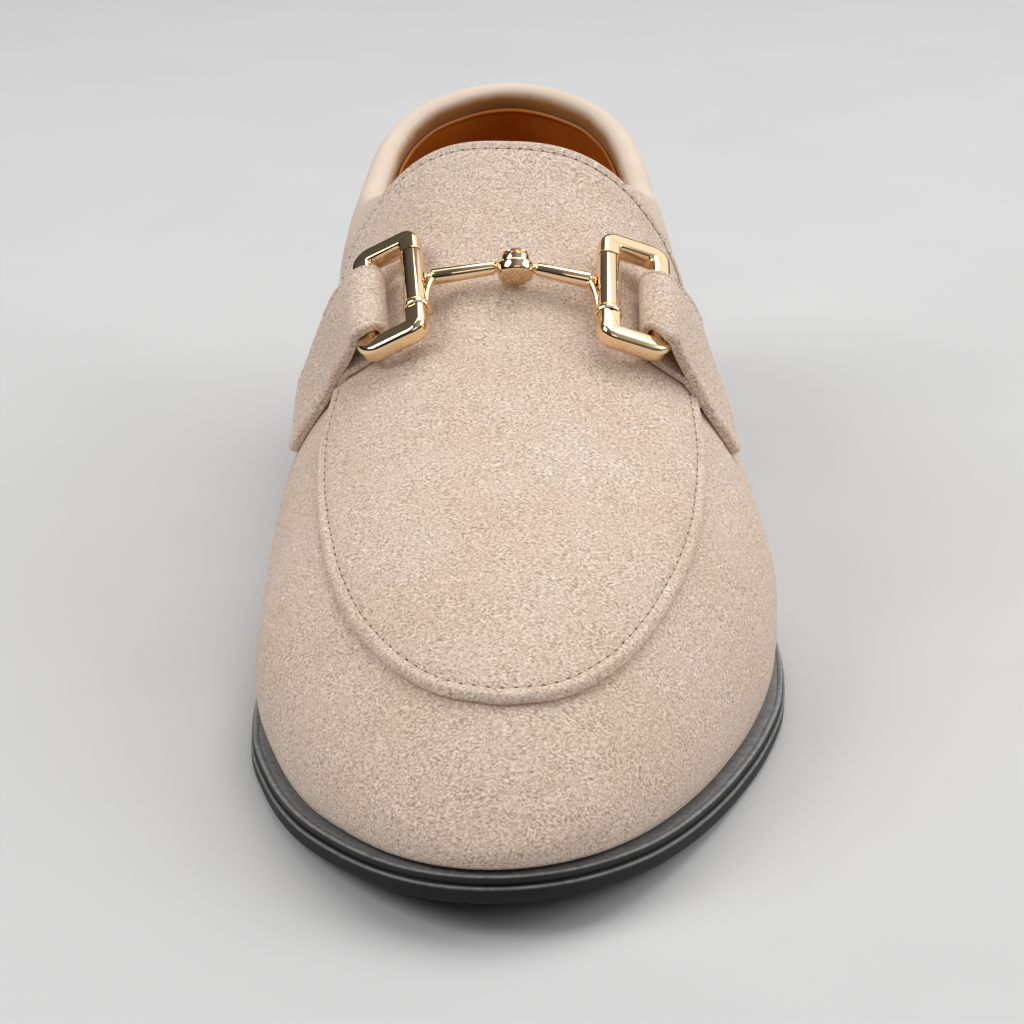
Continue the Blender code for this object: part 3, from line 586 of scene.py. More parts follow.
class Finish:
    """A material with an empty Principled shader, ready to be wired."""

    def __init__(self, name: str, **sockets: object) -> None:
        """Make the material and set the sockets that are the same all over.

        Args:
            name: name of the real material.
            sockets: values, with spaces in socket names written as underscores.
        """
        self.material = bpy.data.materials.new(name)
        self.material.use_nodes = True
        self.tree = self.material.node_tree
        self.shader = self.tree.nodes["Principled BSDF"]
        for key, value in sockets.items():
            self.shader.inputs[key.replace("_", " ")].default_value = value
        self.place = (add_node(self.tree, "ShaderNodeTexCoord"), "Object")

    def link(self, node: bpy.types.Node, output: str | int, socket: str) -> None:
        """Lead a node's output to a socket of the shader."""
        self.tree.links.new(node.outputs[output], self.shader.inputs[socket])

    def noise(self, size_mm: float, detail: float = 3.0, roughness: float = 0.55,
              vector: Optional[tuple] = None) -> bpy.types.Node:
        """Cloudy pattern whose clouds are about the given size."""
        return add_node(self.tree, "ShaderNodeTexNoise",
                        {"Vector": vector or self.place, "Scale": per_metre(size_mm), "Detail": detail,
                         "Roughness": roughness})

    def tones(self, value: tuple, *stops: tuple[float, str]) -> bpy.types.Node:
        """Colours by a value, as stops of a place and a hex colour."""
        return add_node(self.tree, "ShaderNodeValToRGB", {0: value}, ramp=stops)

    def span(self, value: tuple, low: float, high: float, start: float = 0.0,
             end: float = 1.0) -> bpy.types.Node:
        """A value between start and end, stretched to lie between low and high."""
        return add_node(self.tree, "ShaderNodeMapRange", {"Value": value, "From Min": start, "From Max": end,
                                                          "To Min": low, "To Max": high})

    def mix(self, share: float | tuple, first: tuple, second: tuple, way: str = "MIX") -> bpy.types.Node:
        """Two colours mixed by a share."""
        return add_node(self.tree, "ShaderNodeMix", {0: share, 6: first, 7: second},
                        data_type="RGBA", blend_type=way)

    def cloudy(self, size_mm: float, detail: float, *stops: tuple[float, str]) -> bpy.types.Node:
        """Give the base colour soft clouds of tone, and return their pattern."""
        clouds = self.noise(size_mm, detail)
        self.link(self.tones((clouds, 0), *stops), 0, "Base Color")
        return clouds

    def press(self, height: tuple, strength: float | tuple, depth_mm: float) -> None:
        """Press a fine relief into the surface."""
        relief = add_node(self.tree, "ShaderNodeBump",
                          {"Strength": strength, "Distance": depth_mm * MM, "Height": height})
        self.link(relief, 0, "Normal")


@dataclass(frozen=True)
class Suede:
    """Brushed split suede. Short fibres lie in small wisps, so light and dark flecks mix all over.

    Single fibres are about 0.05 mm; the flecks are drawn coarser, as the wisps that show.
    """

    name: str = "beige_suede"
    dark: str = "#AA9685"
    middle: str = "#DFCDBE"
    light: str = "#FBF2EA"
    smooth_nap: str = "#E8DACC"
    ochre: str = "#FAF2E9"
    rose: str = "#FFFAF6"
    # Painted warm shade: the tan that tints the collar's inner roll as its shade and the lining's bounce
    # light would
    painted_shading_tone: str = "#A8763F"
    sheen: str = "#FFF3E6"
    fleck_mm: float = 0.38
    stretch: float = 1.4
    swirl_mm: float = 9.0
    patch_mm: float = 7.2
    drift_mm: float = 5.0
    cloud_mm: float = 16.0
    pile_mm: float = 0.2
    fuzz_mm: float = 3.0
    lays: tuple = ((0.2, 0.3, 0.35), (0.5, -0.4, 2.2))

    def flecks(self, finish: Finish) -> tuple:
        """Wisps of nap: two lays of flecks that take turns over swirling patches."""
        tree = finish.tree
        swirl = finish.noise(self.swirl_mm, 2.0)
        offset = add_node(tree, "ShaderNodeVectorMath", {0: (swirl, "Color"), 1: (0.5, 0.5, 0.5)},
                          operation="SUBTRACT")
        drift = add_node(tree, "ShaderNodeVectorMath", {0: (offset, 0), "Scale": self.drift_mm * MM},
                         operation="SCALE")
        moved = add_node(tree, "ShaderNodeVectorMath", {0: finish.place, 1: (drift, 0)}, operation="ADD")
        lays = []
        for turn in self.lays:
            lay = add_node(tree, "ShaderNodeMapping",
                           {"Vector": (moved, 0), "Rotation": turn, "Scale": (1 / self.stretch, 1.0, 1.0)})
            lays.append((finish.noise(self.fleck_mm, 3.0, 0.6, (lay, 0)), 0))
        choose = finish.span((finish.noise(self.patch_mm, 1.0), 0), 0.0, 1.0, 0.42, 0.58)
        return add_node(tree, "ShaderNodeMix", {0: (choose, 0), 2: lays[0], 3: lays[1]}), 0

    def build(self) -> bpy.types.Material:
        """The suede's material. A mark up to 1 fades its flecks; above 1 it is painted tan, a painted warm
        shade and bounce light from the lining on the collar's inner roll.
        """
        finish = Finish(self.name, Roughness=0.96, Specular_IOR_Level=0.15, Sheen_Weight=0.18,
                        Sheen_Roughness=0.5, Sheen_Tint=linear(self.sheen))
        flecks = self.flecks(finish)
        fibre = finish.tones(flecks, (0.34, self.dark), (0.66, self.light), (0.5, self.middle))
        mark = (add_node(finish.tree, "ShaderNodeAttribute", attribute_name="mark"), "Fac")
        calm = finish.mix(mark, (fibre, 0), linear(self.smooth_nap))
        shade = finish.tones((finish.noise(self.cloud_mm), 0), (0.32, self.ochre), (0.62, self.rose))
        colour = finish.mix(1.0, (calm, 2), (shade, 0), "MULTIPLY")
        # Marks above 1 paint the warm shade of the collar's inner roll; a fuzz noise makes its edge ragged
        painted_shading = (finish.span(mark, 0.0, 1.0, 1.0, 2.0), 0)
        ragged = add_node(finish.tree, "ShaderNodeMath",
                          {0: painted_shading, 1: (finish.noise(self.fuzz_mm), 0), 2: painted_shading}, operation="MULTIPLY_ADD")
        with_painted_shade = finish.mix((ragged, 0), (colour, 2), linear(self.painted_shading_tone))
        finish.link(with_painted_shade, 2, "Base Color")
        finish.press(flecks, (finish.span(mark, 0.6, 0.12), 0), self.pile_mm)
        return finish.material


@dataclass(frozen=True)
class LiningLeather:
    """Vegetable-tanned lining leather. Warm tan, closed pores and a low gloss."""

    name: str = "tan_lining_leather"
    dark: str = "#B4661A"
    light: str = "#CC7E2A"
    pore_mm: float = 0.9
    pore_deep: float = 0.12
    cloud_mm: float = 18.0

    def build(self) -> bpy.types.Material:
        """The leather's material."""
        finish = Finish(self.name, Specular_IOR_Level=0.4)
        clouds = finish.cloudy(self.cloud_mm, 4.0, (0.3, self.dark), (0.7, self.light))
        finish.link(finish.span((clouds, 0), 0.42, 0.6), 0, "Roughness")
        pores = add_node(finish.tree, "ShaderNodeTexVoronoi",
                         {"Vector": finish.place, "Scale": per_metre(self.pore_mm)})
        finish.press((pores, "Distance"), 0.25, self.pore_deep)
        return finish.material


@dataclass(frozen=True)
class SoleRubber:
    """Moulded black sole rubber. A satin skin, with lighter grey painted on the ledge's top as painted light
    and along its edges as painted highlights.
    """

    name: str = "black_sole_rubber"
    dark: str = "#0F0F10"
    light: str = "#1D1D1E"
    # Painted light: lighter grey standing for light on the ledge's top and highlights along the edges
    painted_shading_tone: str = "#B4B4B4"
    speckle_mm: float = 0.5
    speckle_deep: float = 0.06
    rub_mm: float = 14.0
    streak_mm: float = 1.2

    def build(self) -> bpy.types.Material:
        """The rubber's material; the mark attribute shows where lighter grey is painted as light on the ledge
        and as highlights on the edges.
        """
        finish = Finish(self.name, Specular_IOR_Level=0.3)
        rub = (finish.noise(self.rub_mm, 6.0, 0.65), 0)
        black = finish.tones(rub, (0.35, self.dark), (0.75, self.light))
        streaks = finish.noise(self.streak_mm, 3.0, 0.6)
        # The mark paints lighter grey where the ledge's top is lit and where the edges catch highlights
        painted_shading = add_node(finish.tree, "ShaderNodeAttribute", attribute_name="mark")
        amount = finish.span((streaks, 0), 0.45, 1.0, 0.2, 0.75)
        share = add_node(finish.tree, "ShaderNodeMath", {0: (painted_shading, "Fac"), 1: (amount, 0)},
                         operation="MULTIPLY")
        colour = finish.mix((share, 0), (black, 0), linear(self.painted_shading_tone))
        finish.link(colour, 2, "Base Color")
        finish.link(finish.span(rub, 0.42, 0.62), 0, "Roughness")
        finish.press((finish.noise(self.speckle_mm, 2.0), 0), 0.2, self.speckle_deep)
        return finish.material


@dataclass(frozen=True)
class PaleGold:
    """Pale gold plating over polished brass. Mirror bright, with faint handling haze."""

    name: str = "pale_gold_plating"
    colour: str = "#F7D8AE"
    haze_mm: float = 6.0

    def build(self) -> bpy.types.Material:
        """The plating's material."""
        finish = Finish(self.name, Metallic=1.0, Base_Color=linear(self.colour))
        haze = finish.noise(self.haze_mm, 5.0, 0.6)
        finish.link(finish.span((haze, 0), 0.04, 0.1, 0.35, 0.7), 0, "Roughness")
        return finish.material


@dataclass(frozen=True)
class Thread:
    """Twisted polyester thread in the suede's own shade, with its plies just showing."""

    name: str = "beige_sewing_thread"
    dark: str = "#B29C88"
    light: str = "#DCCAB8"
    ply_mm: float = 0.5

    def build(self) -> bpy.types.Material:
        """The thread's material."""
        finish = Finish(self.name, Roughness=0.7, Specular_IOR_Level=0.3, Sheen_Weight=0.15)
        finish.cloudy(self.ply_mm, 2.0, (0.35, self.dark), (0.65, self.light))
        return finish.material


@dataclass(frozen=True)
class NeedleHole:
    """The shaded inside of a needle hole in suede, half filled by the nap."""

    name: str = "needle_hole_shadow"
    dark: str = "#57442F"
    light: str = "#8A725E"
    fleck_mm: float = 2.0

    def build(self) -> bpy.types.Material:
        """The hole's material."""
        finish = Finish(self.name, Roughness=1.0, Specular_IOR_Level=0.05)
        finish.cloudy(self.fleck_mm, 2.0, (0.4, self.dark), (0.6, self.light))
        return finish.material


@dataclass
class Finishes:
    """All finishes of the shoe, each made once."""

    suede: bpy.types.Material = field(default_factory=lambda: Suede().build())
    lining: bpy.types.Material = field(default_factory=lambda: LiningLeather().build())
    rubber: bpy.types.Material = field(default_factory=lambda: SoleRubber().build())
    gold: bpy.types.Material = field(default_factory=lambda: PaleGold().build())
    thread: bpy.types.Material = field(default_factory=lambda: Thread().build())
    hole: bpy.types.Material = field(default_factory=lambda: NeedleHole().build())


@dataclass
class Seam:
    """A row of stitches along a line on the surface."""

    finishes: Finishes
    pitch: float = 2.3
    thread: float = 0.34
    share: float = 0.72
    sink: float = 0.1
    hole: float = 0.26
    hole_long: float = 0.8
    hole_deep: float = 0.2
    hole_rise: float = 0.02

    def sew(self, name: str, line: np.ndarray, normals: np.ndarray) -> None:
        """Sew the row: threads between needle holes.

        Args:
            name: name stem of the pieces.
            line: points along the seam.
            normals: surface normals at those points.
        """
        run = along_line(line)
        count = max(2, int(run[-1] / self.pitch))
        step = run[-1] / count
        marks = (np.arange(count) + 0.5) * run[-1] / count
        threads, holes = [], []
        for mark in marks:
            start, middle, end = (read_line(mark + d, run, line) for d in (-step / 2, 0.0, step / 2))
            up = unit(read_line(mark, run, normals))
            along = unit(end - start)
            across = unit(np.cross(up, along))
            up = np.cross(along, across)
            threads.append(axes_matrix(along * step * self.share / 2, across * self.thread / 2,
                                       up * self.thread / 2, middle - up * self.sink))
            holes.append(axes_matrix(along * self.hole_long / 2, across * self.hole / 2,
                                     up * self.hole_deep / 2, start + up * self.hole_rise))
        for stem, places, material in (("stitches", threads, self.finishes.thread),
                                       ("holes", holes, self.finishes.hole)):
            Bench.clear()
            bpy.ops.mesh.primitive_uv_sphere_add(segments=8, ring_count=6, radius=1.0)
            stamp = bpy.context.object
            Bench.edit_all(stamp, lambda: bpy.ops.transform.rotate(value=math.pi / 2, orient_axis="Y",
                                                                   center_override=(0, 0, 0)))
            piece = Bench.copies(f"{name}_{stem}", stamp, places)
            Bench.dress(piece, material, Slot.SUEDE, angle=80)


@dataclass
class Sole:
    """Rubber outsole, welt and heel block, with the leather sock on the bed."""

    last: Last
    finishes: Finishes
    edge: float = 3.4
    gap: float = 0.3
    welt_thick: float = 1.3
    welt_setback: float = 0.45
    welt_inner: float = 6.0
    sock_thick: float = 3.0
    sock_inside: float = -2.8
    heel_breast: float = 64.0
    heel_gap: float = 0.1
    steps: int = 130
    cap_shares: tuple = (1.0, 0.75, 0.4)

    def from_edge(self, inset: float) -> Callable:
        """Distance outside the feather line of a line inside the sole's outer edge."""
        return lambda station: self.last.ledge(station) - inset

    def ring(self, outward: Callable | float, height: float, end: float = math.pi) -> np.ndarray:
        """One closed ring round the sole."""
        return self.last.outline(outward, height, self.steps, end)

    def capped(self, rings: list[np.ndarray]) -> np.ndarray:
        """Rings from bottom to top, closed over the middle at both ends."""
        low = [self.last.towards_middle(rings[0], share) for share in self.cap_shares]
        top = [self.last.towards_middle(rings[-1], share) for share in reversed(self.cap_shares)]
        return np.array(low + rings + top)

    def outsole(self) -> None:
        """Outsole: flat tread with a rounded lower edge, a groove, and a bed for the sock."""
        # Inset from the outer edge, height over the underside, painted light (a painted highlight along the
        # upper edge)
        profile = [(4.0, 0.0, 0.0), (1.5, 0.0, 0.0), (0.9, 0.02, 0.0), (0.5, 0.16, 0.0), (0.2, 0.45, 0.0),
                   (0.05, 0.85, 0.0), (0.0, 1.2, 0.0), (0.0, 2.5, 0.0), (0.02, 2.75, 0.25), (0.1, 2.95, 0.8),
                   (0.25, 3.1, 0.5), (0.5, 3.2, 0.0), (0.52, 3.32, 0.0), (0.6, self.edge, 0.0)]
        rings = [self.ring(self.from_edge(inset), height) for inset, height, _ in profile]
        inner = -self.welt_inner - self.gap
        bed = self.edge + self.gap + self.welt_thick
        rings += [self.ring(inner, height) for height in (self.edge, bed)]
        grid = self.capped(rings)
        plain = [0.0] * len(self.cap_shares)
        painted_shading = plain + [row[2] for row in profile] + [0.0, 0.0] + plain
        piece = Bench.sheets("outsole_rubber", [grid], [self.level(painted_shading, grid)])
        Bench.dress(piece, self.finishes.rubber, Slot.RUBBER, ["outsole"], 35)

    @staticmethod
    def level(painted_shading: Sequence[float], grid: np.ndarray) -> np.ndarray:
        """One amount of painted light for each ring, spread over the grid."""
        return np.repeat(np.array(painted_shading)[:, None], grid.shape[1], axis=1)

    def welt(self) -> None:
        """Welt: flat strip round the sole, with painted light on its top and a painted highlight on its upper
        edge, and a line pressed in it.
        """
        low = self.edge + 0.05
        top = self.edge + self.gap + self.welt_thick
        back = self.welt_setback
        # Inset from the sole's outer edge, height over the underside, painted light (ledge top) and painted
        # highlight (upper edge)
        profile = [(back + 0.25, low, 0.0), (back + 0.05, low + 0.2, 0.0), (back, low + 0.45, 0.0),
                   (back, top - 0.4, 0.05), (back + 0.06, top - 0.18, 0.6), (back + 0.2, top - 0.05, 1.0),
                   (back + 0.45, top, 0.7), (back + 0.8, top, 0.55), (back + 0.95, top - 0.1, 0.3),
                   (back + 1.1, top, 0.6), (back + 1.8, top, 0.6)]
        rings = [self.ring(self.from_edge(inset), height) for inset, height, _ in profile]
        rings += [self.ring(-self.welt_inner, height) for height in (top, low)]
        painted_shading = [row[2] for row in profile] + [0.5, 0.0]
        grid = np.array(rings + rings[:1])
        piece = Bench.sheets("welt_rubber", [grid], [self.level(painted_shading + painted_shading[:1], grid)])
        Bench.dress(piece, self.finishes.rubber, Slot.RUBBER, ["welt"], 35)

    def heel(self) -> None:
        """Heel block: slightly narrower below, with the line of its top piece."""
        end = float(self.last.turn_of(self.heel_breast))
        rings = []
        # Inset from the sole's outer edge, share of the way down to the floor
        profile = ((1.0, 0.0), (0.62, 0.01), (0.95, 0.3), (1.02, 0.56), (1.2, 0.575), (1.2, 0.6),
                   (1.02, 0.615), (1.3, 0.93), (1.42, 0.97), (1.75, 1.0), (2.4, 1.0))
        for inset, drop in profile:
            ring = self.ring(self.from_edge(inset), -self.heel_gap, end)
            ring[:, 2] *= 1 - drop
            rings.append(ring)
        grid = self.capped(rings)
        grid = np.concatenate([grid, grid[:, :1]], axis=1)
        piece = Bench.sheets("heel_rubber", [grid])
        Bench.dress(piece, self.finishes.rubber, Slot.RUBBER, ["heel"], 35)

    def sock(self) -> None:
        """Leather sock: softly cushioned, with a turned-down edge."""
        inside = self.sock_inside
        low = self.last.feather_rise
        top = low + self.sock_thick
        # Distance outside the feather line, height over the underside
        profile = [(inside - 0.4, low), (inside, low + 0.4), (inside, top - 0.9), (inside - 0.25, top - 0.4),
                   (inside - 0.8, top - 0.12), (inside - 1.8, top)]
        rings = [self.ring(outward, height) for outward, height in profile]
        piece = Bench.sheets("insole_leather", [self.capped(rings)])
        Bench.dress(piece, self.finishes.lining, Slot.LEATHER, ["insole"], 50)

    def build(self) -> None:
        """Make every piece of the sole."""
        self.outsole()
        self.welt()
        self.heel()
        self.sock()


@dataclass
class Crease:
    """A soft crease pressed into the upper between two places on it."""

    side: Side
    start: tuple[float, float]
    end: tuple[float, float]
    depth: float
    width: float


@dataclass
class Upper:
    """Lasted suede shell with a padded collar, and its tan lining."""

    last: Last
    finishes: Finishes
    wall: float = 2.2
    pad: float = 4.0
    pad_out: float = 0.8
    pad_depth: float = 24.0
    pad_fade: tuple[float, float] = (84.0, 101.0)
    hide: float = 1.1
    foot_in: float = 0.4
    foot_drop: float = 0.28
    fold_inside: float = 2.0
    fold_loss: float = 0.6
    fold_fade: tuple[float, float] = (95.0, 107.0)
    fold_cover: float = 0.9
    roll_steps: int = 15
    # Rows of the roll where the painted warm shade on its inner side starts, and over how many rows it grows
    roll_shade_span: tuple[float, float] = (7.0, 8.0)
    calm_share: float = 0.85
    calm_depth: float = 15.0
    calm_fade: tuple[float, float] = (78.0, 108.0)
    # Strength of the painted warm shade on the collar's inner roll and fold (marks above 1)
    rub: float = 1.35
    lining_thick: float = 0.5
    lining_in: float = 0.18
    lining_steps: int = 28
    lip_high: float = 0.75
    lip_steps: tuple = (0.0, 0.2, 0.5, 0.9, 1.3, 1.7, 2.2, 3.0)
    lip_end: float = 4.5
    heel_ribs: int = 64
    toe_ribs: int = 88
    throat_steps: tuple = (8.0, 6.0, 4.2, 3.0, 2.0, 1.2, 0.5, 0.0)
    # Flexing creases beside the ball, as (station, turn) from the welt up
    creases: tuple = (
        Crease(Side.MEDIAL, (176.0, 0.08), (170.0, 0.5), 0.22, 3.0),
        Crease(Side.MEDIAL, (187.0, 0.06), (183.0, 0.42), 0.16, 3.4),
        Crease(Side.LATERAL, (168.0, 0.08), (162.0, 0.52), 0.2, 3.0),
        Crease(Side.LATERAL, (180.0, 0.06), (177.0, 0.4), 0.15, 3.4),
        Crease(Side.MEDIAL, (70.0, 0.3), (92.0, 0.72), 0.25, 4.5),
        Crease(Side.LATERAL, (72.0, 0.3), (94.0, 0.7), 0.25, 4.5))

    def ribs(self) -> tuple[np.ndarray, int]:
        """Feather stations of the ribs, and the place of the throat among them."""
        last = self.last
        heel = last.station_of(np.linspace(0, last.turn_of(last.throat - 9.0), self.heel_ribs + 1))
        throat = last.throat - np.array(self.throat_steps)
        toe = last.station_of(np.linspace(last.turn_of(last.throat), math.pi, self.toe_ribs + 1))[1:]
        return np.concatenate([heel, throat, toe]), self.heel_ribs + len(self.throat_steps)

    def padding(self, station: float, below: np.ndarray) -> np.ndarray:
        """Share of the collar's padding, by the distance below the top line."""
        start, end = self.pad_fade
        fade = 1 - ease((station - start) / (end - start))
        return fade * (1 - ease(below / self.pad_depth))

    def turns(self, side: Side, station: float) -> np.ndarray:
        """Turns of one rib's points, closer together at the foot and beside the apron's edge."""
        last = self.last
        top = last.collar_turn(side, station)
        split = 0.55 * top
        if station >= last.tongue_edge:
            split = min(float(last.apron_turn(side, station)), 0.97 * top)
        low = last.walk(side, station, 0, split, 26, (0.4, 0.9, 1.5, 2.2), (0.25, 0.55, 0.95, 1.5))
        high = last.walk(side, station, split, top, 16, (0.25, 0.6, 1.1), (0.5, 1.1, 2.0))
        return np.concatenate([low, high[1:]])

    def relief(self, side: Side, points: np.ndarray) -> np.ndarray:
        """Depth of the creases at points of one side."""
        depth = np.zeros(points.shape[:-1])
        for crease in self.creases:
            if crease.side is not side:
                continue
            a, b = (self.last.point(side, *place) for place in (crease.start, crease.end))
            way = b - a
            share = np.clip(np.sum((points - a) * way, -1) / np.dot(way, way), 0, 1)
            away = np.linalg.norm(points - (a + share[..., None] * way), axis=-1)
            fade = np.sin(math.pi * np.clip(0.12 + 0.76 * share, 0, 1))
            depth += crease.depth * fade * (hump(away, crease.width) - 0.45 * hump(away, 2.4 * crease.width))
        return depth

    def skins(self) -> dict:
        """Outer points, normals, inner points and padding of both sides, by rib and level."""
        last = self.last
        stations, throat = self.ribs()
        made = {"stations": stations, "throat": throat}
        for side in Side:
            rows = {"outer": [], "normal": [], "inner": [], "below": []}
            for i, station in enumerate(stations):
                turns = self.turns(side, station)
                whole = np.full_like(turns, station)
                points = last.point(side, whole, turns)
                normals = last.normal(side, whole, turns)
                run = along_line(points)
                below = run[-1] - run
                padded = self.padding(station, below) if i < throat else 0 * below
                push = self.pad_out * padded * np.minimum(below / 8, 1)
                push = push - self.foot_in * (1 - ease(run / 1.1))
                drop = np.array([0, 0, self.foot_drop]) * (1 - ease(run / 1.4))[:, None]
                rows["outer"].append(points + normals * push[:, None] - drop)
                rows["normal"].append(normals)
                rows["inner"].append(points - normals * (self.wall + self.pad * padded)[:, None])
                rows["below"].append(below)
            made[side] = {key: np.array(value) for key, value in rows.items()}
            outer = made[side]["outer"]
            made[side]["outer"] = outer - made[side]["normal"] * self.relief(side, outer)[..., None]
        return made

    def fold_depth(self, station: np.ndarray) -> np.ndarray:
        """How far the suede is folded down inside the collar, less towards the throat."""
        start, end = self.fold_fade
        return self.fold_inside * (1 - self.fold_loss * ease((station - start) / (end - start)))

    def calm(self, station: np.ndarray) -> np.ndarray:
        """How much the nap is smoothed at the collar's edge."""
        start, end = self.calm_fade
        return self.calm_share * (1 - ease((station - start) / (end - start)))

    def shell(self, made: dict) -> None:
        """Suede shell: the outside, the rolled collar and the fold inside it."""
        stations, throat = made["stations"], made["throat"]
        grids, marks = [], []
        for side in Side:
            outer = made[side]["outer"].copy()
            if side is Side.LATERAL:
                partner = made[Side.MEDIAL]["outer"]
                outer[0], outer[-1] = partner[0], partner[-1]
                outer[throat:, -1] = partner[throat:, -1]
            grids.append(outer)
            near_edge = 1 - ease((made[side]["below"] - 1.0) / self.calm_depth)
            marks.append(near_edge * self.calm(stations)[:, None])
        loop = [(Side.MEDIAL, i) for i in range(throat + 1)]
        loop += [(Side.LATERAL, i) for i in range(throat - 1, -1, -1)]
        places = stations[[i for _, i in loop]]
        out = np.array([side.pick(*grids)[i][-1] for side, i in loop])
        inner = np.array([made[side]["inner"][i][-1] for side, i in loop])
        inner[-1] = inner[0]
        closed = np.concatenate([out[-2:-1], out, out[1:2]])
        along = unit(closed[2:] - closed[:-2])
        up = unit(np.cross(out - inner, along))
        middle, reach = (out + inner) / 2, (out - inner) / 2
        radius = np.linalg.norm(reach, axis=1, keepdims=True)
        columns = [middle + reach * math.cos(a) + up * radius * math.sin(a)
                   for a in np.linspace(0, math.pi, self.roll_steps)]
        columns[0] = out
        down = np.array([made[side]["inner"][i][-6] - made[side]["inner"][i][-1] for side, i in loop])
        down[-1] = down[0]
        depth = self.fold_depth(places)[:, None]
        columns += [inner + unit(down) * depth * share for share in (0.3, 0.65, 1.0)]
        grids.append(np.stack(columns, axis=1))
        # Marks above 1 paint a warm shade on the roll's inner side and the fold, as shade and the lining's
        # bounce light would tint them
        first, spread = self.roll_shade_span
        inside = ease((np.arange(len(columns)) - first) / spread)
        marks.append(self.calm(places)[:, None] * (1 + self.rub * inside))
        piece = Bench.sheets("upper_suede", grids, marks)
        Bench.facing(piece, self.outward)
        Bench.apply(piece, "SOLIDIFY", thickness=self.hide * MM, offset=-1.0, use_even_offset=False)
        Bench.dress(piece, self.finishes.suede, Slot.SUEDE, ["upper"], 70)

    @staticmethod
    def outward(points: np.ndarray) -> np.ndarray:
        """Directions away from the middle of the shoe, leaning up."""
        way = np.stack([points[:, 0], 0.3 * points[:, 1], points[:, 2] - 25.0], axis=1)
        return unit(way)

    def lip(self, start: np.ndarray) -> np.ndarray:
        """How far the lining stands in from the wall: a turned lip at its top, then a pressed line."""
        bead = np.sqrt(np.clip(1 - ((start - 0.55) / 0.6) ** 2, 0, 1))
        return self.lip_high * bead - 0.1 * (start < 0.05) + self.lining_in - 0.25 * hump(start - 1.6, 0.35)

    def lining(self, made: dict) -> None:
        """Lining: tan leather from the collar's fold down to the sock, with a turned lip at its top."""
        throat = made["throat"]
        grids = []
        for side in Side:
            rows = []
            for i, station in enumerate(made["stations"]):
                inner, normals = (made[side][key][i][::-1] for key in ("inner", "normal"))
                run = along_line(inner)
                marks = np.linspace(0, run[-1], self.lining_steps)
                stand = np.full(self.lining_steps, self.lining_in)
                if i < throat:
                    fold = self.fold_depth(station) - self.fold_cover
                    rest = self.lining_steps - len(self.lip_steps)
                    marks = np.concatenate([fold + np.array(self.lip_steps),
                                            np.linspace(fold + self.lip_end, run[-1], rest)])
                    stand = self.lip(marks - fold)
                inward = -unit(read_line(marks, run, normals))
                rows.append(read_line(marks, run, inner) + inward * stand[:, None])
            grids.append(np.array(rows))
        grids[1][0], grids[1][-1] = grids[0][0], grids[0][-1]
        grids[1][throat:, 0] = grids[0][throat:, 0]
        piece = Bench.sheets("lining_leather", grids)
        Bench.facing(piece, lambda points: -self.outward(points))
        Bench.apply(piece, "SOLIDIFY", thickness=self.lining_thick * MM, offset=-1.0, use_even_offset=False)
        Bench.dress(piece, self.finishes.lining, Slot.LEATHER, (), 60)

    def build(self) -> None:
        """Make the shell and the lining."""
        made = self.skins()
        self.shell(made)
        self.lining(made)


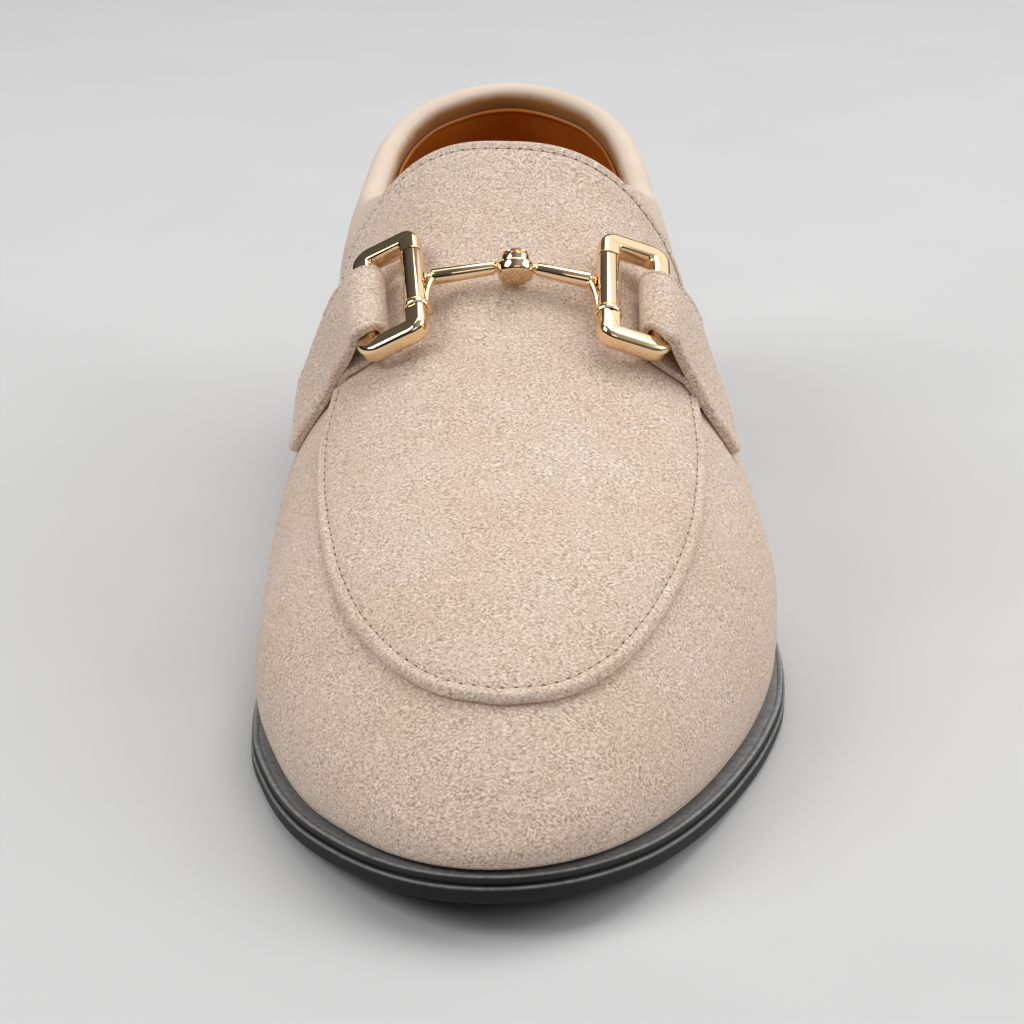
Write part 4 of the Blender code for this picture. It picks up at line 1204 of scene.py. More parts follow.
@dataclass
class Apron:
    """Raised suede plug over the vamp, free at the back as a short tongue."""

    last: Last
    finishes: Finishes
    lift: float = 1.5
    stand: float = 0.6
    stand_long: float = 12.0
    skew: tuple[float, float] = (-3.2, 4.2)
    skew_long: float = 16.0
    edge_round: float = 1.15
    edge_share: float = 0.42
    seam_inset: float = 2.6
    rear_steps: tuple = (0.0, 0.15, 0.35, 0.6, 0.9, 1.2, 1.6, 2.0, 2.4, 2.9, 3.6, 4.6, 6.0)
    edge_steps: tuple = (0.12, 0.28, 0.48, 0.7, 0.95, 1.2, 1.5, 1.8, 2.05, 2.3, 2.6, 3.0, 3.6)
    ribs_forward: int = 110
    free_end: float = 118.0
    free_long: float = 8.0
    base_gap: float = 0.25
    tuck: float = 0.35
    tuck_wide: float = 0.5
    edge_high: float = 0.18
    edge_in: float = 0.08

    def stations(self) -> np.ndarray:
        """Feather stations of the apron's ribs, closer together behind the tongue's edge."""
        last = self.last
        rear = last.tongue_edge + np.array(self.rear_steps)
        rest = last.station_of(np.linspace(last.turn_of(rear[-1]), math.pi, self.ribs_forward + 1))[1:]
        return np.concatenate([rear, rest])

    def standing(self, station: np.ndarray) -> np.ndarray:
        """How far the free tongue stands off the upper."""
        return self.stand * (1 - ease((station - self.last.tongue_edge) / self.stand_long))

    def places(self, side: Side, station: float, turns: np.ndarray) -> np.ndarray:
        """Feather stations along one rib, because the tongue is cut slightly askew."""
        share = (CREST - turns) / (CREST - turns[0])
        fade = 1 - ease((station - self.last.tongue_edge) / self.skew_long)
        return station + side.pick(*self.skew) * fade * share

    def rim(self, grids: dict) -> list[np.ndarray]:
        """Line round the apron's edge: its points, normals and how far it stands off the upper."""
        lines = []
        for key in ("points", "normals", "stand"):
            medial, lateral = grids[Side.MEDIAL][key], grids[Side.LATERAL][key]
            lines.append(np.concatenate([medial[::-1, 0], medial[0, 1:], lateral[0, -2::-1],
                                         lateral[1:, 0]]))
        return lines

    def height(self, away: np.ndarray) -> np.ndarray:
        """Height of the top face by the distance from the edge: round edge, ridge and seam groove."""
        share = np.clip(away / self.edge_round, 0, 1)
        shoulder = self.edge_share + (1 - self.edge_share) * np.sqrt(1 - (1 - share) ** 2)
        return (self.lift * shoulder + 0.16 * hump(away - 1.2, 0.5)
                - 0.2 * hump(away - self.seam_inset, 0.4))

    @staticmethod
    def edge_tree(line: np.ndarray) -> KDTree:
        """Search tree over the apron's edge, to measure distances from it."""
        run = along_line(line)
        dense = read_line(np.linspace(0, run[-1], 6000), run, line)
        tree = KDTree(len(dense))
        for i, point in enumerate(dense):
            tree.insert(Vector(point), i)
        tree.balance()
        return tree

    def faces(self, grid: dict, stations: np.ndarray, tree: KDTree) -> tuple:
        """Top face, middle of the edge, and underside of one side of the apron.

        Args:
            grid: points and normals of that side on the upper.
            stations: feather stations of the ribs.
            tree: search tree over the apron's edge.

        Returns:
            Three arrays of points, rib by rib from the edge to the crest.
        """
        points, normals = grid["points"], grid["normals"]
        stand = self.standing(stations)[:, None]
        free = ease((self.free_end - stations) / self.free_long)[:, None]
        away = np.array([tree.find(Vector(point))[2] for point in points.reshape(-1, 3)])
        away = away.reshape(points.shape[:2])
        top = points + normals * (self.height(away) + stand)[..., None]
        base = np.broadcast_to((self.base_gap + stand) * free, away.shape)
        inward = unit(points[:, 2] - points[:, 0])[:, None, :]
        tuck = self.tuck * hump(away, self.tuck_wide)
        low = points + normals * base[..., None] + inward * tuck[..., None]
        rise = (self.edge_high * self.lift + stand)[..., None]
        middle = points[:, :1] + normals[:, :1] * rise + inward * self.edge_in
        return top, middle, low

    def build(self) -> None:
        """Make the apron and its stitching."""
        last = self.last
        stations = self.stations()
        grids = {}
        for side in Side:
            turns = np.array([last.walk(side, s, float(last.apron_turn(side, s)), CREST, 26, self.edge_steps)
                              for s in stations])
            whole = np.array([self.places(side, s, row) for s, row in zip(stations, turns)])
            stand = np.repeat(self.standing(stations)[:, None, None], turns.shape[1], axis=1)
            grids[side] = {"points": last.point(side, whole, turns),
                           "normals": last.normal(side, whole, turns), "stand": stand}
        rim = self.rim(grids)
        tree = self.edge_tree(rim[0])
        medial, lateral = (self.faces(grids[side], stations, tree) for side in Side)
        loops = [np.concatenate([m_top, l_top[-2::-1], l_edge, l_low[:-1], m_low[::-1], m_edge, m_top[:1]])
                 for m_top, m_edge, m_low, l_top, l_edge, l_low in zip(*medial, *lateral)]
        top, low = (np.concatenate([medial[k][0], lateral[k][0][-2::-1]]) for k in (0, 2))
        back = (top + low) / 2
        tail = np.concatenate([back, back[-1:], back[::-1], back[:1], back[:1]])
        piece = Bench.sheets("apron_suede", [np.array([tail] + loops)])
        Bench.dress(piece, self.finishes.suede, Slot.SUEDE, ["apron"], 60)
        self.stitch(*rim)

    def stitch(self, line: np.ndarray, normals: np.ndarray, standing: np.ndarray) -> None:
        """Sew the row inside the edge, round the apron and along the tongue."""
        run = along_line(line)
        fine = np.linspace(0, run[-1], 900)
        points = read_line(fine, run, line)
        ups = unit(read_line(fine, run, normals))
        ahead = unit(np.gradient(points, axis=0))
        inward = unit(np.cross(ahead, ups))
        centre = np.array([0.0, 0.0, 60.0])
        if np.sum(inward * (centre - points)) < 0:
            inward = -inward
        stand = np.interp(fine, run, standing[:, 0])[:, None]
        height = self.height(np.array([self.seam_inset]))[0]
        row = points + inward * self.seam_inset + ups * (height + stand)
        Seam(self.finishes).sew("apron", row, ups)


@dataclass
class Seat:
    """Local axes of one buckle frame, set over the apron."""

    last: Last
    side: Side
    bar_height: float = 5.85
    splay: float = 0.12
    stations: tuple[float, float] = (139.0, 141.5)
    turns: tuple[float, float] = (1.11, 1.19)

    def __post_init__(self) -> None:
        """Work out the axes: along the shoe, down its side, and up."""
        self.station, self.turn = self.side.pick(*self.stations), self.side.pick(*self.turns)
        sign = self.side.value
        toe_way = np.array([sign * math.sin(self.splay), -math.cos(self.splay), 0.0])
        self.up = self.last.normal(self.side, self.station, self.turn)
        self.along = unit(toe_way - self.up * np.dot(self.up, toe_way))
        self.down_side = sign * np.cross(self.up, self.along)
        self.centre = self.last.point(self.side, self.station, self.turn) + self.up * self.bar_height

    def at(self, along: float, down: float, up: float = 0.0) -> np.ndarray:
        """A local millimetre point in the part's frame."""
        return self.centre + along * self.along + down * self.down_side + up * self.up

    def matrix(self, along: float = 0.0, down: float = 0.0, up: float = 0.0) -> Matrix:
        """Placing of the local axes at a local point."""
        return axes_matrix(self.along, self.down_side, self.up, self.at(along, down, up))


@dataclass
class Buckle:
    """Gold buckle: two squared frames, their sleeves, two rods and the centre joint."""

    last: Last
    finishes: Finishes
    long: float = 31.7
    wide: float = 14.8
    bar: float = 4.1
    bar_high: float = 3.8
    shift: float = -0.5
    shift_along: float = 0.35
    corner_inner: float = 3.6
    corner_outer: float = 4.4
    corner_window: float = 1.0
    facet: float = 1.25
    sleeve_bar: float = 2.8
    sleeve_long: float = 17.5
    sleeve_wide: float = 4.6
    ring_long: float = 1.2
    ring_wide: float = 5.2
    rod: float = 3.3
    rod_thin: float = 2.65
    neck: float = 2.0
    rod_shift: float = -1.0
    web_wide: float = 0.72
    web_taper: float = 0.3
    web_high: float = 1.25
    joint_station: float = 136.6
    joint_high: float = 3.2
    joint_face: float = 3.65
    joint_flange: float = 7.2
    joint_barrel: float = 2.3
    joint_ring: float = 5.6
    joint_neck: float = 4.7
    joint_cap: float = 5.3
    joint_back: float = -1.9
    joint_clear: float = 1.3
    joint_tilt: float = 0.24
    apron_lift: float = 1.5

    @property
    def inner_bar(self) -> float:
        """Place of the inner bar across the frame."""
        return self.shift - (self.wide - self.bar) / 2

    def gild(self, piece: bpy.types.Object, node: str, angle: float = 28.0) -> None:
        """Plate a finished piece."""
        Bench.dress(piece, self.finishes.gold, Slot.GOLD, [node] if node else (), angle)

    def build_frame(self, seat: Seat) -> None:
        """Squared loop of bar: a plate with its window cut out, rounded corners and softened facets."""
        Bench.clear()
        bpy.ops.mesh.primitive_plane_add(size=1.0)
        piece = bpy.context.object
        piece.data.transform(Matrix.Diagonal((self.long, self.wide, 1.0, 1.0)))
        bpy.ops.object.mode_set(mode="EDIT")
        bpy.ops.mesh.select_mode(type="FACE")
        bpy.ops.mesh.select_all(action="SELECT")
        bpy.ops.mesh.inset(thickness=self.bar, depth=0.0)
        bpy.ops.mesh.delete(type="FACE")
        bpy.ops.mesh.select_all(action="SELECT")
        bpy.ops.mesh.extrude_region_move(TRANSFORM_OT_translate={"value": (0.0, 0.0, self.bar_high)})
        bpy.ops.mesh.select_all(action="SELECT")
        Bench.face_out()
        half = self.long / 2

        def upright(edge: bmesh.types.BMEdge) -> bool:
            """Whether an edge stands on its end."""
            return abs(edge.verts[0].co.z - edge.verts[1].co.z) > 0.1

        for sign, radius in ((-1, self.corner_inner), (1, self.corner_outer)):
            Bench.edit(piece, lambda e: upright(e) and abs(e.verts[0].co.x) > half - 0.1
                       and sign * e.verts[0].co.y > self.wide / 2 - 0.1)
            bpy.ops.mesh.bevel(offset=radius, segments=8, affect="EDGES")
        Bench.edit(piece, lambda e: upright(e) and abs(e.verts[0].co.x) < half - self.bar + 0.1
                   and abs(e.verts[0].co.y) < self.wide / 2 - self.bar + 0.1)
        bpy.ops.mesh.bevel(offset=self.corner_window, segments=4, affect="EDGES")
        Bench.edit(piece, lambda e: e.calc_face_angle(0.0) > math.radians(60))
        bpy.ops.mesh.bevel(offset=self.facet, segments=6, affect="EDGES", profile=0.5)
        low, high = (sign * self.sleeve_long / 2 - self.shift_along for sign in (-1, 1))
        for at in (low - 0.05, low, high, high + 0.05):
            bpy.ops.mesh.select_all(action="SELECT")
            bpy.ops.mesh.bisect(plane_co=(at, 0.0, 0.0), plane_no=(1.0, 0.0, 0.0))
        mesh = bmesh.from_edit_mesh(piece.data)
        thin = self.sleeve_bar / self.bar
        inner = self.inner_bar - self.shift
        for vert in mesh.verts:
            if low - 0.02 < vert.co.x < high + 0.02 and vert.co.y < 0:
                vert.co.y = inner + (vert.co.y - inner) * thin
                vert.co.z = self.bar_high - self.bar / 2 + (vert.co.z - self.bar_high / 2) * thin
        bmesh.update_edit_mesh(piece.data)
        bpy.ops.object.mode_set(mode="OBJECT")
        piece.data.transform(Matrix.Diagonal((MM, MM, MM, 1.0))
                             @ seat.matrix(self.shift_along, self.shift, self.bar / 2 - self.bar_high))
        piece.location = (0.0, 0.0, 0.0)
        piece.name = piece.data.name = f"frame_{seat.side.label}_gold"
        Bench.edit_all(piece, Bench.face_out)
        self.gild(piece, f"frame_{seat.side.label}", 22.0)

    def build_sleeve(self, seat: Seat) -> None:
        """Tube on the inner bar, with a flared ring at the toe end and a fine seam at the other."""
        half = self.sleeve_long / 2 - 0.2
        wide, ring = self.sleeve_wide, self.ring_wide
        bead, bore = half - self.ring_long, self.sleeve_bar + 0.2
        profile = [(-half, wide - 0.55), (-half + 0.1, wide - 0.3), (-half + 0.3, wide - 0.1),
                   (-half + 0.55, wide), (bead - 0.75, wide), (bead - 0.35, wide + 0.1),
                   (bead - 0.1, ring - 0.15), (bead, ring), (bead + 0.08, ring - 0.4),
                   (bead + 0.2, ring - 0.4), (bead + 0.28, ring - 0.05), (bead + 0.5, ring),
                   (half - 0.3, ring), (half - 0.1, ring - 0.2), (half, ring - 0.6), (half, bore),
                   (-half, bore)]
        piece = Bench.turned(f"sleeve_{seat.side.label}_gold", profile, seat.matrix(down=self.inner_bar),
                             56, True)
        self.gild(piece, f"sleeve_{seat.side.label}", 24.0)

    def joint_axes(self) -> tuple[np.ndarray, np.ndarray, np.ndarray]:
        """Middle of the centre joint, its axis tipped down towards the toe, and the way up."""
        fore, aft = (self.last.point(Side.MEDIAL, self.joint_station + d, CREST) for d in (6.0, -6.0))
        axis = unit(fore - aft)
        up = self.last.normal(Side.MEDIAL, self.joint_station, CREST)
        up = unit(up - axis * np.dot(up, axis))
        foot = self.last.point(Side.MEDIAL, self.joint_station, CREST)
        centre = foot + up * (self.apron_lift + self.joint_clear + self.joint_high)
        tilt, lean = math.cos(self.joint_tilt), math.sin(self.joint_tilt)
        return centre, axis * tilt - up * lean, up * tilt + axis * lean

    def build_joint(self) -> None:
        """Centre joint: a rear cap, a middle ring and a wide front barrel with a flat face."""
        centre, axis, up = self.joint_axes()
        face, flange, barrel = self.joint_face, self.joint_flange, self.joint_barrel
        neck, ring, cap = self.joint_neck, self.joint_ring, self.joint_cap
        edge, back = face - barrel, self.joint_back
        profile = [(back, 0.8), (back + 0.04, 1.9), (back + 0.16, 3.0), (back + 0.36, 3.9),
                   (back + 0.62, cap - 0.2), (back + 0.8, cap), (back + 0.98, cap - 0.1),
                   (back + 1.04, neck), (back + 1.22, neck), (back + 1.28, ring - 0.3),
                   (back + 1.45, ring - 0.05), (back + 1.65, ring), (edge - 0.62, ring),
                   (edge - 0.46, ring - 0.08), (edge - 0.4, neck), (edge - 0.28, neck),
                   (edge - 0.22, ring + 0.3), (edge - 0.08, ring + 0.4), (edge - 0.04, neck + 0.4),
                   (edge, neck + 0.4), (edge + 0.02, flange - 0.5),
                   (edge + 0.12, flange - 0.12), (edge + 0.35, flange), (edge + 0.8, flange - 0.05),
                   (face - 0.6, flange - 0.3), (face - 0.25, flange - 0.55), (face - 0.08, flange - 0.85),
                   (face, flange - 1.3), (face + 0.06, flange - 2.2), (face + 0.1, flange - 4.0)]
        axes = axes_matrix(axis, unit(np.cross(up, axis)), up, centre)
        piece = Bench.turned("centre_joint_gold", profile, axes, 56)
        self.gild(piece, "centre_joint", 26)

    def build_rod(self, seat: Seat) -> None:
        """Rod from the sleeve to the joint, thinner towards the joint, with ball necks at both ends."""
        centre, axis, up = self.joint_axes()
        start = seat.at(self.rod_shift, self.inner_bar)
        middle = centre + axis * 0.8
        way = unit(middle - start)
        start = start + way * (self.sleeve_wide / 2 - 0.15)
        long = float(np.dot(middle - start, way)) - self.joint_ring / 2 + 0.2
        neck, rod, thin = self.neck, self.rod, self.rod_thin
        near, far = 1.25, long - 1.5
        profile = [(0.0, neck + 0.6), (0.3, neck + 0.1), (0.45, neck - 0.1), (0.6, neck + 0.25),
                   (0.85, neck + 0.45), (1.05, neck + 0.25), (near - 0.05, neck), (near, rod - 0.5),
                   (near + 0.08, rod - 0.18), (near + 0.3, rod), (far - 0.3, thin), (far - 0.1, thin - 0.16),
                   (far, thin - 0.5), (far + 0.05, neck - 0.2), (far + 0.25, neck), (far + 0.5, neck + 0.3),
                   (far + 0.75, neck), (far + 0.85, neck - 0.25), (far + 0.95, neck),
                   (far + 1.2, neck + 0.25), (long, neck)]
        across = unit(np.cross(way, up))
        piece = Bench.turned(f"rod_{seat.side.label}_gold", profile,
                             axes_matrix(way, across, unit(np.cross(across, way)), start), 40)
        self.gild(piece, f"rod_{seat.side.label}", 26)
        self.build_web(seat, start + way * (near + 0.5))

    def build_web(self, seat: Seat, foot: np.ndarray) -> None:
        """Curved brace from the rod's end, along the sleeve to its ring.

        Args:
            seat: axes of the frame.
            foot: place in the rod where the brace starts.
        """
        end = seat.at(self.sleeve_long / 2 - 2.0, self.inner_bar - self.sleeve_wide / 2 + 0.25, -0.3)
        bend = seat.at(self.rod_shift + 2.2, self.inner_bar - self.sleeve_wide / 2 - 0.35, -0.25)
        share = np.linspace(0, 1, 19)[:, None]
        start = foot + seat.along * 0.7
        path = start * (1 - share) ** 2 + 2 * bend * share * (1 - share) + end * share ** 2
        ahead = unit(np.gradient(path, axis=0))
        side = unit(np.cross(ahead, seat.up))
        over = unit(np.cross(side, ahead))
        wide = self.web_wide - self.web_taper * share
        angle = np.linspace(0, 2 * math.pi, 17)
        turn = np.stack([np.cos(angle), np.sin(angle)])
        grid = (path[:, None] + side[:, None] * (wide * turn[0])[..., None]
                + over[:, None] * (self.web_high * wide * turn[1])[..., None])
        ends = [path[:1, None] + 0 * grid[:1], path[-1:, None] + 0 * grid[-1:]]
        piece = Bench.sheets(f"web_{seat.side.label}_gold", [np.concatenate([ends[0], grid, ends[1]])])
        self.gild(piece, "", 40)

    def build(self) -> None:
        """Make every piece of the buckle."""
        for side in Side:
            seat = Seat(self.last, side)
            self.build_frame(seat)
            self.build_sleeve(seat)
            self.build_rod(seat)
        self.build_joint()


@dataclass(frozen=True)
class StrapCut:
    """How one strap is cut and how it hangs between the frame's outer bar and the upper."""

    # Length down the side from the bar, and how far the turned-in layer reaches
    long: float
    under: float
    # Bulge of the rear edge, and the height of each edge's lower end over the upper
    bow: float
    stand: float
    stand_front: float
    # How early each edge comes down to the upper, larger for earlier
    sag: float
    sag_front: float
    # Drop at which each edge leaves the bar's plane, and how long it takes to follow the upper
    leave: float
    leave_front: float
    leave_long: float
    # Drop down the side, and the stations of the front and rear edges there
    edges: tuple


STRAP_CUTS = {
    Side.MEDIAL: StrapCut(
        long=25.0, under=9.0, bow=-0.2, stand=2.0, stand_front=-0.3, sag=1.4, sag_front=4.1, leave=0.9,
        leave_front=0.85, leave_long=11.5,
        edges=((-3.4, 148.8, 130.0), (0.0, 151.0, 131.5), (4.4, 150.6, 132.0), (8.5, 148.5, 131.6),
               (10.5, 147.9, 128.8), (25.0, 147.5, 128.8))),
    Side.LATERAL: StrapCut(
        long=19.5, under=10.0, bow=0.3, stand=1.0, stand_front=-0.3, sag=1.75, sag_front=3.45, leave=0.9,
        leave_front=0.35, leave_long=11.5,
        edges=((-3.4, 150.8, 134.5), (0.0, 155.3, 136.5), (4.0, 156.0, 137.2), (8.5, 156.0, 137.0),
               (10.5, 156.2, 132.8), (19.5, 158.8, 132.6))),
}


@dataclass
class Strap:
    """Doubled suede strap, folded round the outer bar of a frame and sewn down the side."""

    last: Last
    finishes: Finishes
    seat: Seat
    thick: float = 2.0
    tuck: float = 1.4
    gap: float = 0.3
    bar: float = 4.1
    bar_side: float = 4.85
    meet: float = 65.0
    under_height: float = 2.25
    under_settle: tuple[float, float, float] = (4.0, 5.5, 4.0)
    groove_inset: float = 1.6
    groove: float = 0.2
    edge_round: float = 0.8
    pitch: float = 2.1
    sewn: tuple[int, int] = (1, 36)
    # Share drawn in to the middle, and distance out, of the rings that round off the lower end
    end_rings: tuple = ((1.0, 0.62), (0.12, 0.6), (0.05, 0.42), (0.015, 0.2))

    def __post_init__(self) -> None:
        """Take this side's cut, and measure its ribs down from the frame."""
        self.cut = STRAP_CUTS[self.seat.side]
        self.turns = np.linspace(self.seat.turn, 0.05, 240)
        self.ribs = np.linspace(122.0, 168.0, 70)
        points = self.last.point(self.seat.side, self.ribs[:, None], self.turns[None, :])
        steps = np.linalg.norm(np.diff(points, axis=1), axis=2)
        self.travel = np.concatenate([np.zeros((len(self.ribs), 1)), np.cumsum(steps, axis=1)], axis=1)

    def middle_line(self, rear: bool) -> np.ndarray:
        """Middle line at one edge: distance down the side from the bar, height, and thickness."""
        cut, bar_height = self.cut, self.seat.bar_height
        low = self.gap + (cut.stand if rear else cut.stand_front) + self.thick / 2
        sag, bow = (cut.sag, cut.bow) if rear else (cut.sag_front, 0.0)
        bend = self.bar / 2 + self.gap + self.thick / 2
        angle = math.radians(self.meet)
        near, high = bend * math.cos(angle), bar_height + bend * math.sin(angle)
        share = np.linspace(0, 1, 34)[:-1]
        down = cut.long + (near - cut.long) * share
        height = low + (high - low) * share ** sag + bow * np.sin(math.pi * share)
        line = [np.stack([down, height, np.full_like(down, self.thick)], -1)]
        degrees = np.linspace(self.meet, 270, 26)
        thick = self.thick + (self.tuck - self.thick) * (degrees - self.meet) / (270 - self.meet)
        bend = self.bar / 2 + self.gap + thick / 2
        turn = np.radians(degrees)
        line.append(np.stack([bend * np.cos(turn), bar_height + bend * np.sin(turn), thick], -1))
        down = np.linspace(0, cut.under, 18)[1:]
        start = line[-1][-1, 1]
        settle, leave, sink = self.under_settle
        height = start + (self.under_height - start) * ease(down / settle)
        height = height + (self.gap + self.tuck / 2 - self.under_height) * ease((down - leave) / sink)
        line.append(np.stack([down, height, np.full_like(down, self.tuck)], -1))
        return np.concatenate(line)

    def section(self, thick: float, wide: float) -> tuple[np.ndarray, np.ndarray]:
        """Closed outline across the strap, with round edges and a groove along each for the stitches.

        Args:
            thick: thickness of both layers together.
            wide: width of the strap.

        Returns:
            Places across the strap from the rear edge, and heights from the middle.
        """
        round_off = self.edge_round
        spread = np.linspace(0, 1, 33)
        flat = round_off + (wide - 2 * round_off) * (0.5 - 0.5 * np.cos(math.pi * spread))
        dip = self.groove * sum(hump(flat - at, 0.32) for at in (self.groove_inset, wide - self.groove_inset))
        swell = 0.12 * sum(hump(flat - at, 0.45) for at in (0.75, wide - 0.75))
        turn = np.radians(np.linspace(82, -82, 15))
        edge_h = thick / 2 * np.sin(turn)
        edge_x = round_off * np.cos(turn) ** 0.8 - 0.12 * hump(edge_h, 0.16)
        across = np.concatenate([flat, wide - round_off + edge_x, flat[::-1], round_off - edge_x])
        height = np.concatenate([thick / 2 - dip + swell, edge_h, np.full(33, -thick / 2), -edge_h])
        return np.append(across, across[0]), np.append(height, height[0])

    def row(self, line: tuple, across: np.ndarray) -> np.ndarray:
        """Points of the strap's middle face along one row.

        Args:
            line: distance down, height at the rear edge and height at the front edge.
            across: places across the row, from 0 at the rear edge to 1 at the front.

        Returns:
            Points in the part's frame.
        """
        down, rear_height, front_height = line
        seat, side = self.seat, self.seat.side
        front, rear = (float(Last.read(self.cut.edges, k, down)) for k in (1, 2))
        station = rear + (front - rear) * across
        lean = ease(across)
        height = rear_height + (front_height - rear_height) * lean
        leave = self.cut.leave + (self.cut.leave_front - self.cut.leave) * lean
        reach = self.bar_side + max(down, 0.0)
        rib_turns = [np.interp(reach, run, self.turns) for run in self.travel]
        turn = np.interp(station, self.ribs, rib_turns)
        on_last = (self.last.point(side, station, turn)
                   + self.last.normal(side, station, turn) * height[:, None])
        on_bar = np.array([seat.at(s - seat.station, self.bar_side + down, h - seat.bar_height)
                           for s, h in zip(station, height)])
        share = ease((down - leave) / self.cut.leave_long)[:, None]
        return on_bar * (1 - share) + on_last * share

    def build(self) -> None:
        """Make the strap and the topstitching along its edges."""
        rear, front = self.middle_line(True), self.middle_line(False)
        even = np.linspace(0, 1, 41)
        lines = [(r[0], r[1], f[1]) for r, f in zip(rear, front)]
        middle = np.array([self.row(line, even) for line in lines])
        face = unit(np.cross(np.gradient(middle, axis=0), np.gradient(middle, axis=1)))
        if np.sum(face[0] * self.seat.up) < 0:
            face = -face
        rows = []
        seams = {"front": [], "rear": []}
        for i, thick in enumerate(rear[:, 2]):
            ends = [float(Last.read(self.cut.edges, k, rear[i, 0])) for k in (2, 1)]
            wide = ends[1] - ends[0]
            across, offset = self.section(thick, wide)
            place = across / wide
            points, ways = (read_line(place, even, part[i]) for part in (middle, face))
            rows.append(points + unit(ways) * offset[:, None])
            for name, at in (("front", wide - self.groove_inset), ("rear", self.groove_inset)):
                spot, up = (read_line(at / wide, even, part[i]) for part in (middle, face))
                seams[name].append((spot + unit(up) * (thick / 2 - self.groove), unit(up)))
        grid = np.array(rows)
        middles = grid.mean(axis=1, keepdims=True)
        rounded = [grid[:1] + (middles[:1] - grid[:1]) * share + unit(grid[:1] - grid[1:2]) * out
                   for share, out in self.end_rings]
        piece = Bench.sheets(f"strap_{self.seat.side.label}_suede",
                             [np.concatenate(rounded + [grid, middles[-1:] + 0 * grid[-1:]])])
        Bench.dress(piece, self.finishes.suede, Slot.SUEDE, [f"strap_{self.seat.side.label}"], 55)
        for name, line in seams.items():
            row, ups = (np.array(part) for part in zip(*line[slice(*self.sewn)]))
            Seam(self.finishes, pitch=self.pitch).sew(f"strap_{self.seat.side.label}_{name}", row, ups)


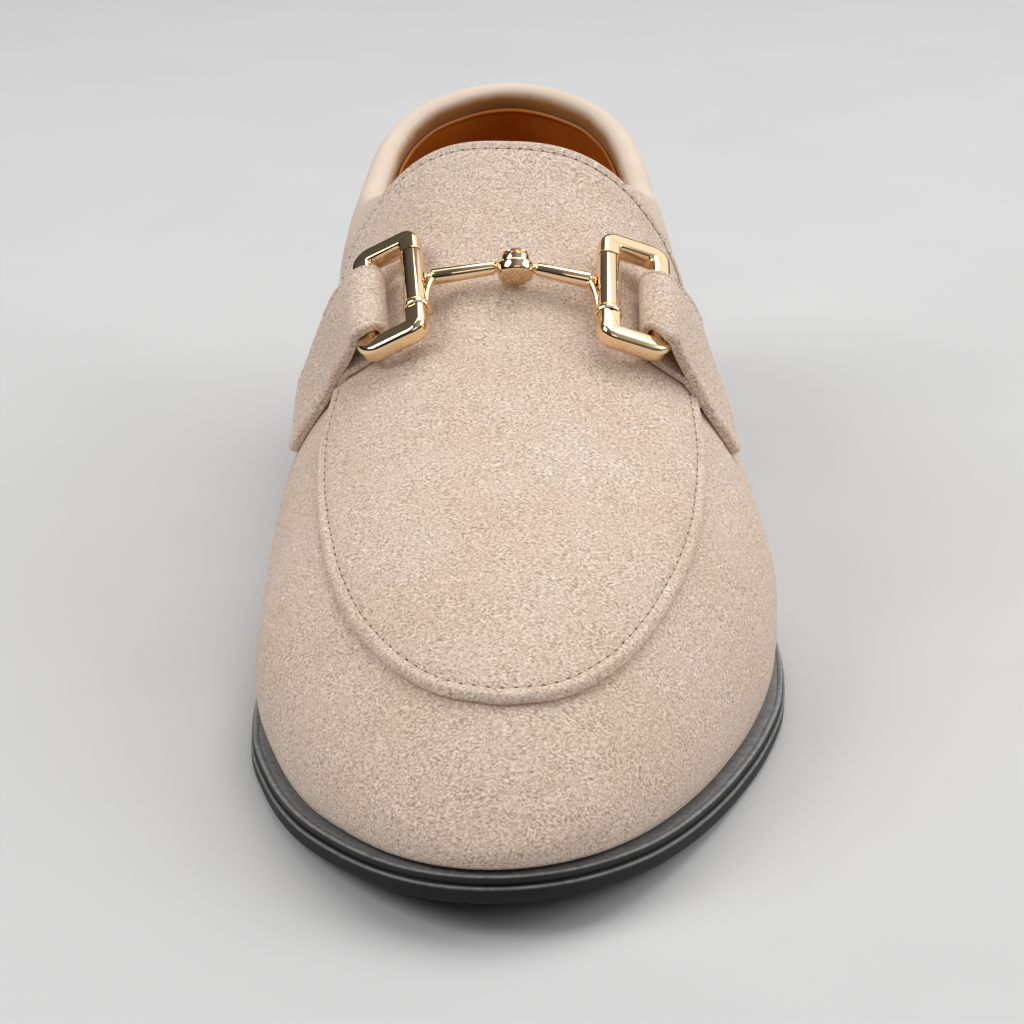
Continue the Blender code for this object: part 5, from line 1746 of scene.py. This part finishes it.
@dataclass
class Studio:
    """Pale floor, soft lights and the camera at the photograph's angle."""

    floor_dark: str = "#CFCFCF"
    floor_light: str = "#D3D3D3"
    floor_cloud_mm: float = 60.0
    surround: float = 0.6
    aim: tuple[float, float, float] = (0.0, 0.0, 0.04)
    # name, place in metres, width and length in metres, watts
    lights: tuple = (
        ("key_box", (0.25, 0.5, 1.35), (0.9, 0.9), 7.4),
        ("sky_panel", (-0.1, 0.5, 1.45), (1.5, 0.6), 3.9),
        ("side_box", (1.15, -0.1, 0.75), (0.8, 0.8), 5.0),
        ("back_panel", (1.0, 0.9, 1.1), (1.3, 1.3), 4.0),
        ("fill_box", (-0.95, -0.3, 0.95), (0.6, 0.8), 7.4),
        ("front_strip", (0.15, -1.25, 0.9), (0.9, 0.35), 1.1))
    camera_at: tuple[float, float, float] = (-3.41, -467.0, 209.0)
    pitch: float = 22.3
    yaw: float = 0.18
    lens: float = 87.9
    sensor: float = 36.0

    def floor(self) -> None:
        """Plain matt floor."""
        Bench.clear()
        bpy.ops.mesh.primitive_grid_add(x_subdivisions=8, y_subdivisions=8, size=6.0)
        floor = bpy.context.object
        floor.name = "floor"
        finish = Finish("matt_grey_paper", Roughness=0.9, Specular_IOR_Level=0.1)
        finish.cloudy(self.floor_cloud_mm, 2.0, (0.2, self.floor_dark), (0.8, self.floor_light))
        floor.data.materials.append(finish.material)

    def light(self, name: str, at: tuple, size: tuple[float, float], power: float) -> None:
        """One soft box that faces the shoe.

        Args:
            name: name of the light.
            at: place in metres.
            size: width and length of the box.
            power: watts.
        """
        data = bpy.data.lights.new(name, "AREA")
        data.shape = "RECTANGLE"
        data.size, data.size_y = size
        data.energy = power
        lamp = bpy.data.objects.new(name, data)
        lamp.location = at
        lamp.rotation_euler = (Vector(self.aim) - Vector(at)).to_track_quat("-Z", "Y").to_euler()
        bpy.context.scene.collection.objects.link(lamp)

    def world(self) -> None:
        """Studio surround, dimmer towards the horizon and the left, so that polished metal has contrast."""
        world = bpy.data.worlds.new("studio")
        bpy.context.scene.world = world
        world.use_nodes = True
        tree = world.node_tree
        back = tree.nodes["Background"]
        place = add_node(tree, "ShaderNodeTexCoord")
        parts = add_node(tree, "ShaderNodeSeparateXYZ", {0: (place, "Generated")})
        level = add_node(tree, "ShaderNodeMapRange",
                         {"Value": (parts, "Z"), "From Min": -1.0, "From Max": 1.0})
        tone = add_node(tree, "ShaderNodeValToRGB", {0: (level, 0)},
                        ramp=((0.0, "#C8C8C8"), (1.0, "#F4F4F4"), (0.46, "#8C8C8C"), (0.56, "#4A4A4A"),
                              (0.66, "#8A8A8A"), (0.78, "#D6D6D6")))
        across = add_node(tree, "ShaderNodeMapRange",
                          {"Value": (parts, "X"), "From Min": -0.7, "From Max": 0.7})
        side = add_node(tree, "ShaderNodeValToRGB", {0: (across, 0)},
                        ramp=((0.0, "#8A8A8A"), (1.0, "#FFFFFF"), (0.35, "#8C8C8C"), (0.65, "#D8D8D8")))
        both = add_node(tree, "ShaderNodeMix", {0: 1.0, 6: (tone, 0), 7: (side, 0)},
                        data_type="RGBA", blend_type="MULTIPLY")
        tree.links.new(both.outputs[2], back.inputs["Color"])
        back.inputs["Strength"].default_value = self.surround

    def camera(self) -> None:
        """Camera at the photograph's angle, without depth of field."""
        data = bpy.data.cameras.new("photo_camera")
        data.lens, data.sensor_width = self.lens, self.sensor
        camera = bpy.data.objects.new("photo_camera", data)
        pitch, yaw = math.radians(self.pitch), math.radians(self.yaw)
        way = Vector((math.sin(yaw) * math.cos(pitch), math.cos(yaw) * math.cos(pitch), -math.sin(pitch)))
        camera.location = Vector(self.camera_at) * MM
        camera.rotation_euler = way.to_track_quat("-Z", "Y").to_euler()
        bpy.context.scene.collection.objects.link(camera)
        bpy.context.scene.camera = camera

    def build(self) -> None:
        """Set up the studio."""
        self.floor()
        self.world()
        for row in self.lights:
            self.light(*row)
        self.camera()
        bpy.context.scene.view_settings.view_transform = "Standard"


def main() -> None:
    """Build the shoe piece by piece."""
    logging.basicConfig(level=logging.INFO, format="%(name)s %(message)s")
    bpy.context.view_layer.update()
    last = Last()
    finishes = Finishes()
    Studio().build()
    Sole(last, finishes).build()
    Upper(last, finishes).build()
    Apron(last, finishes).build()
    for side in Side:
        Strap(last, finishes, Seat(last, side)).build()
    Buckle(last, finishes).build()


if __name__ == "__main__":
    main()
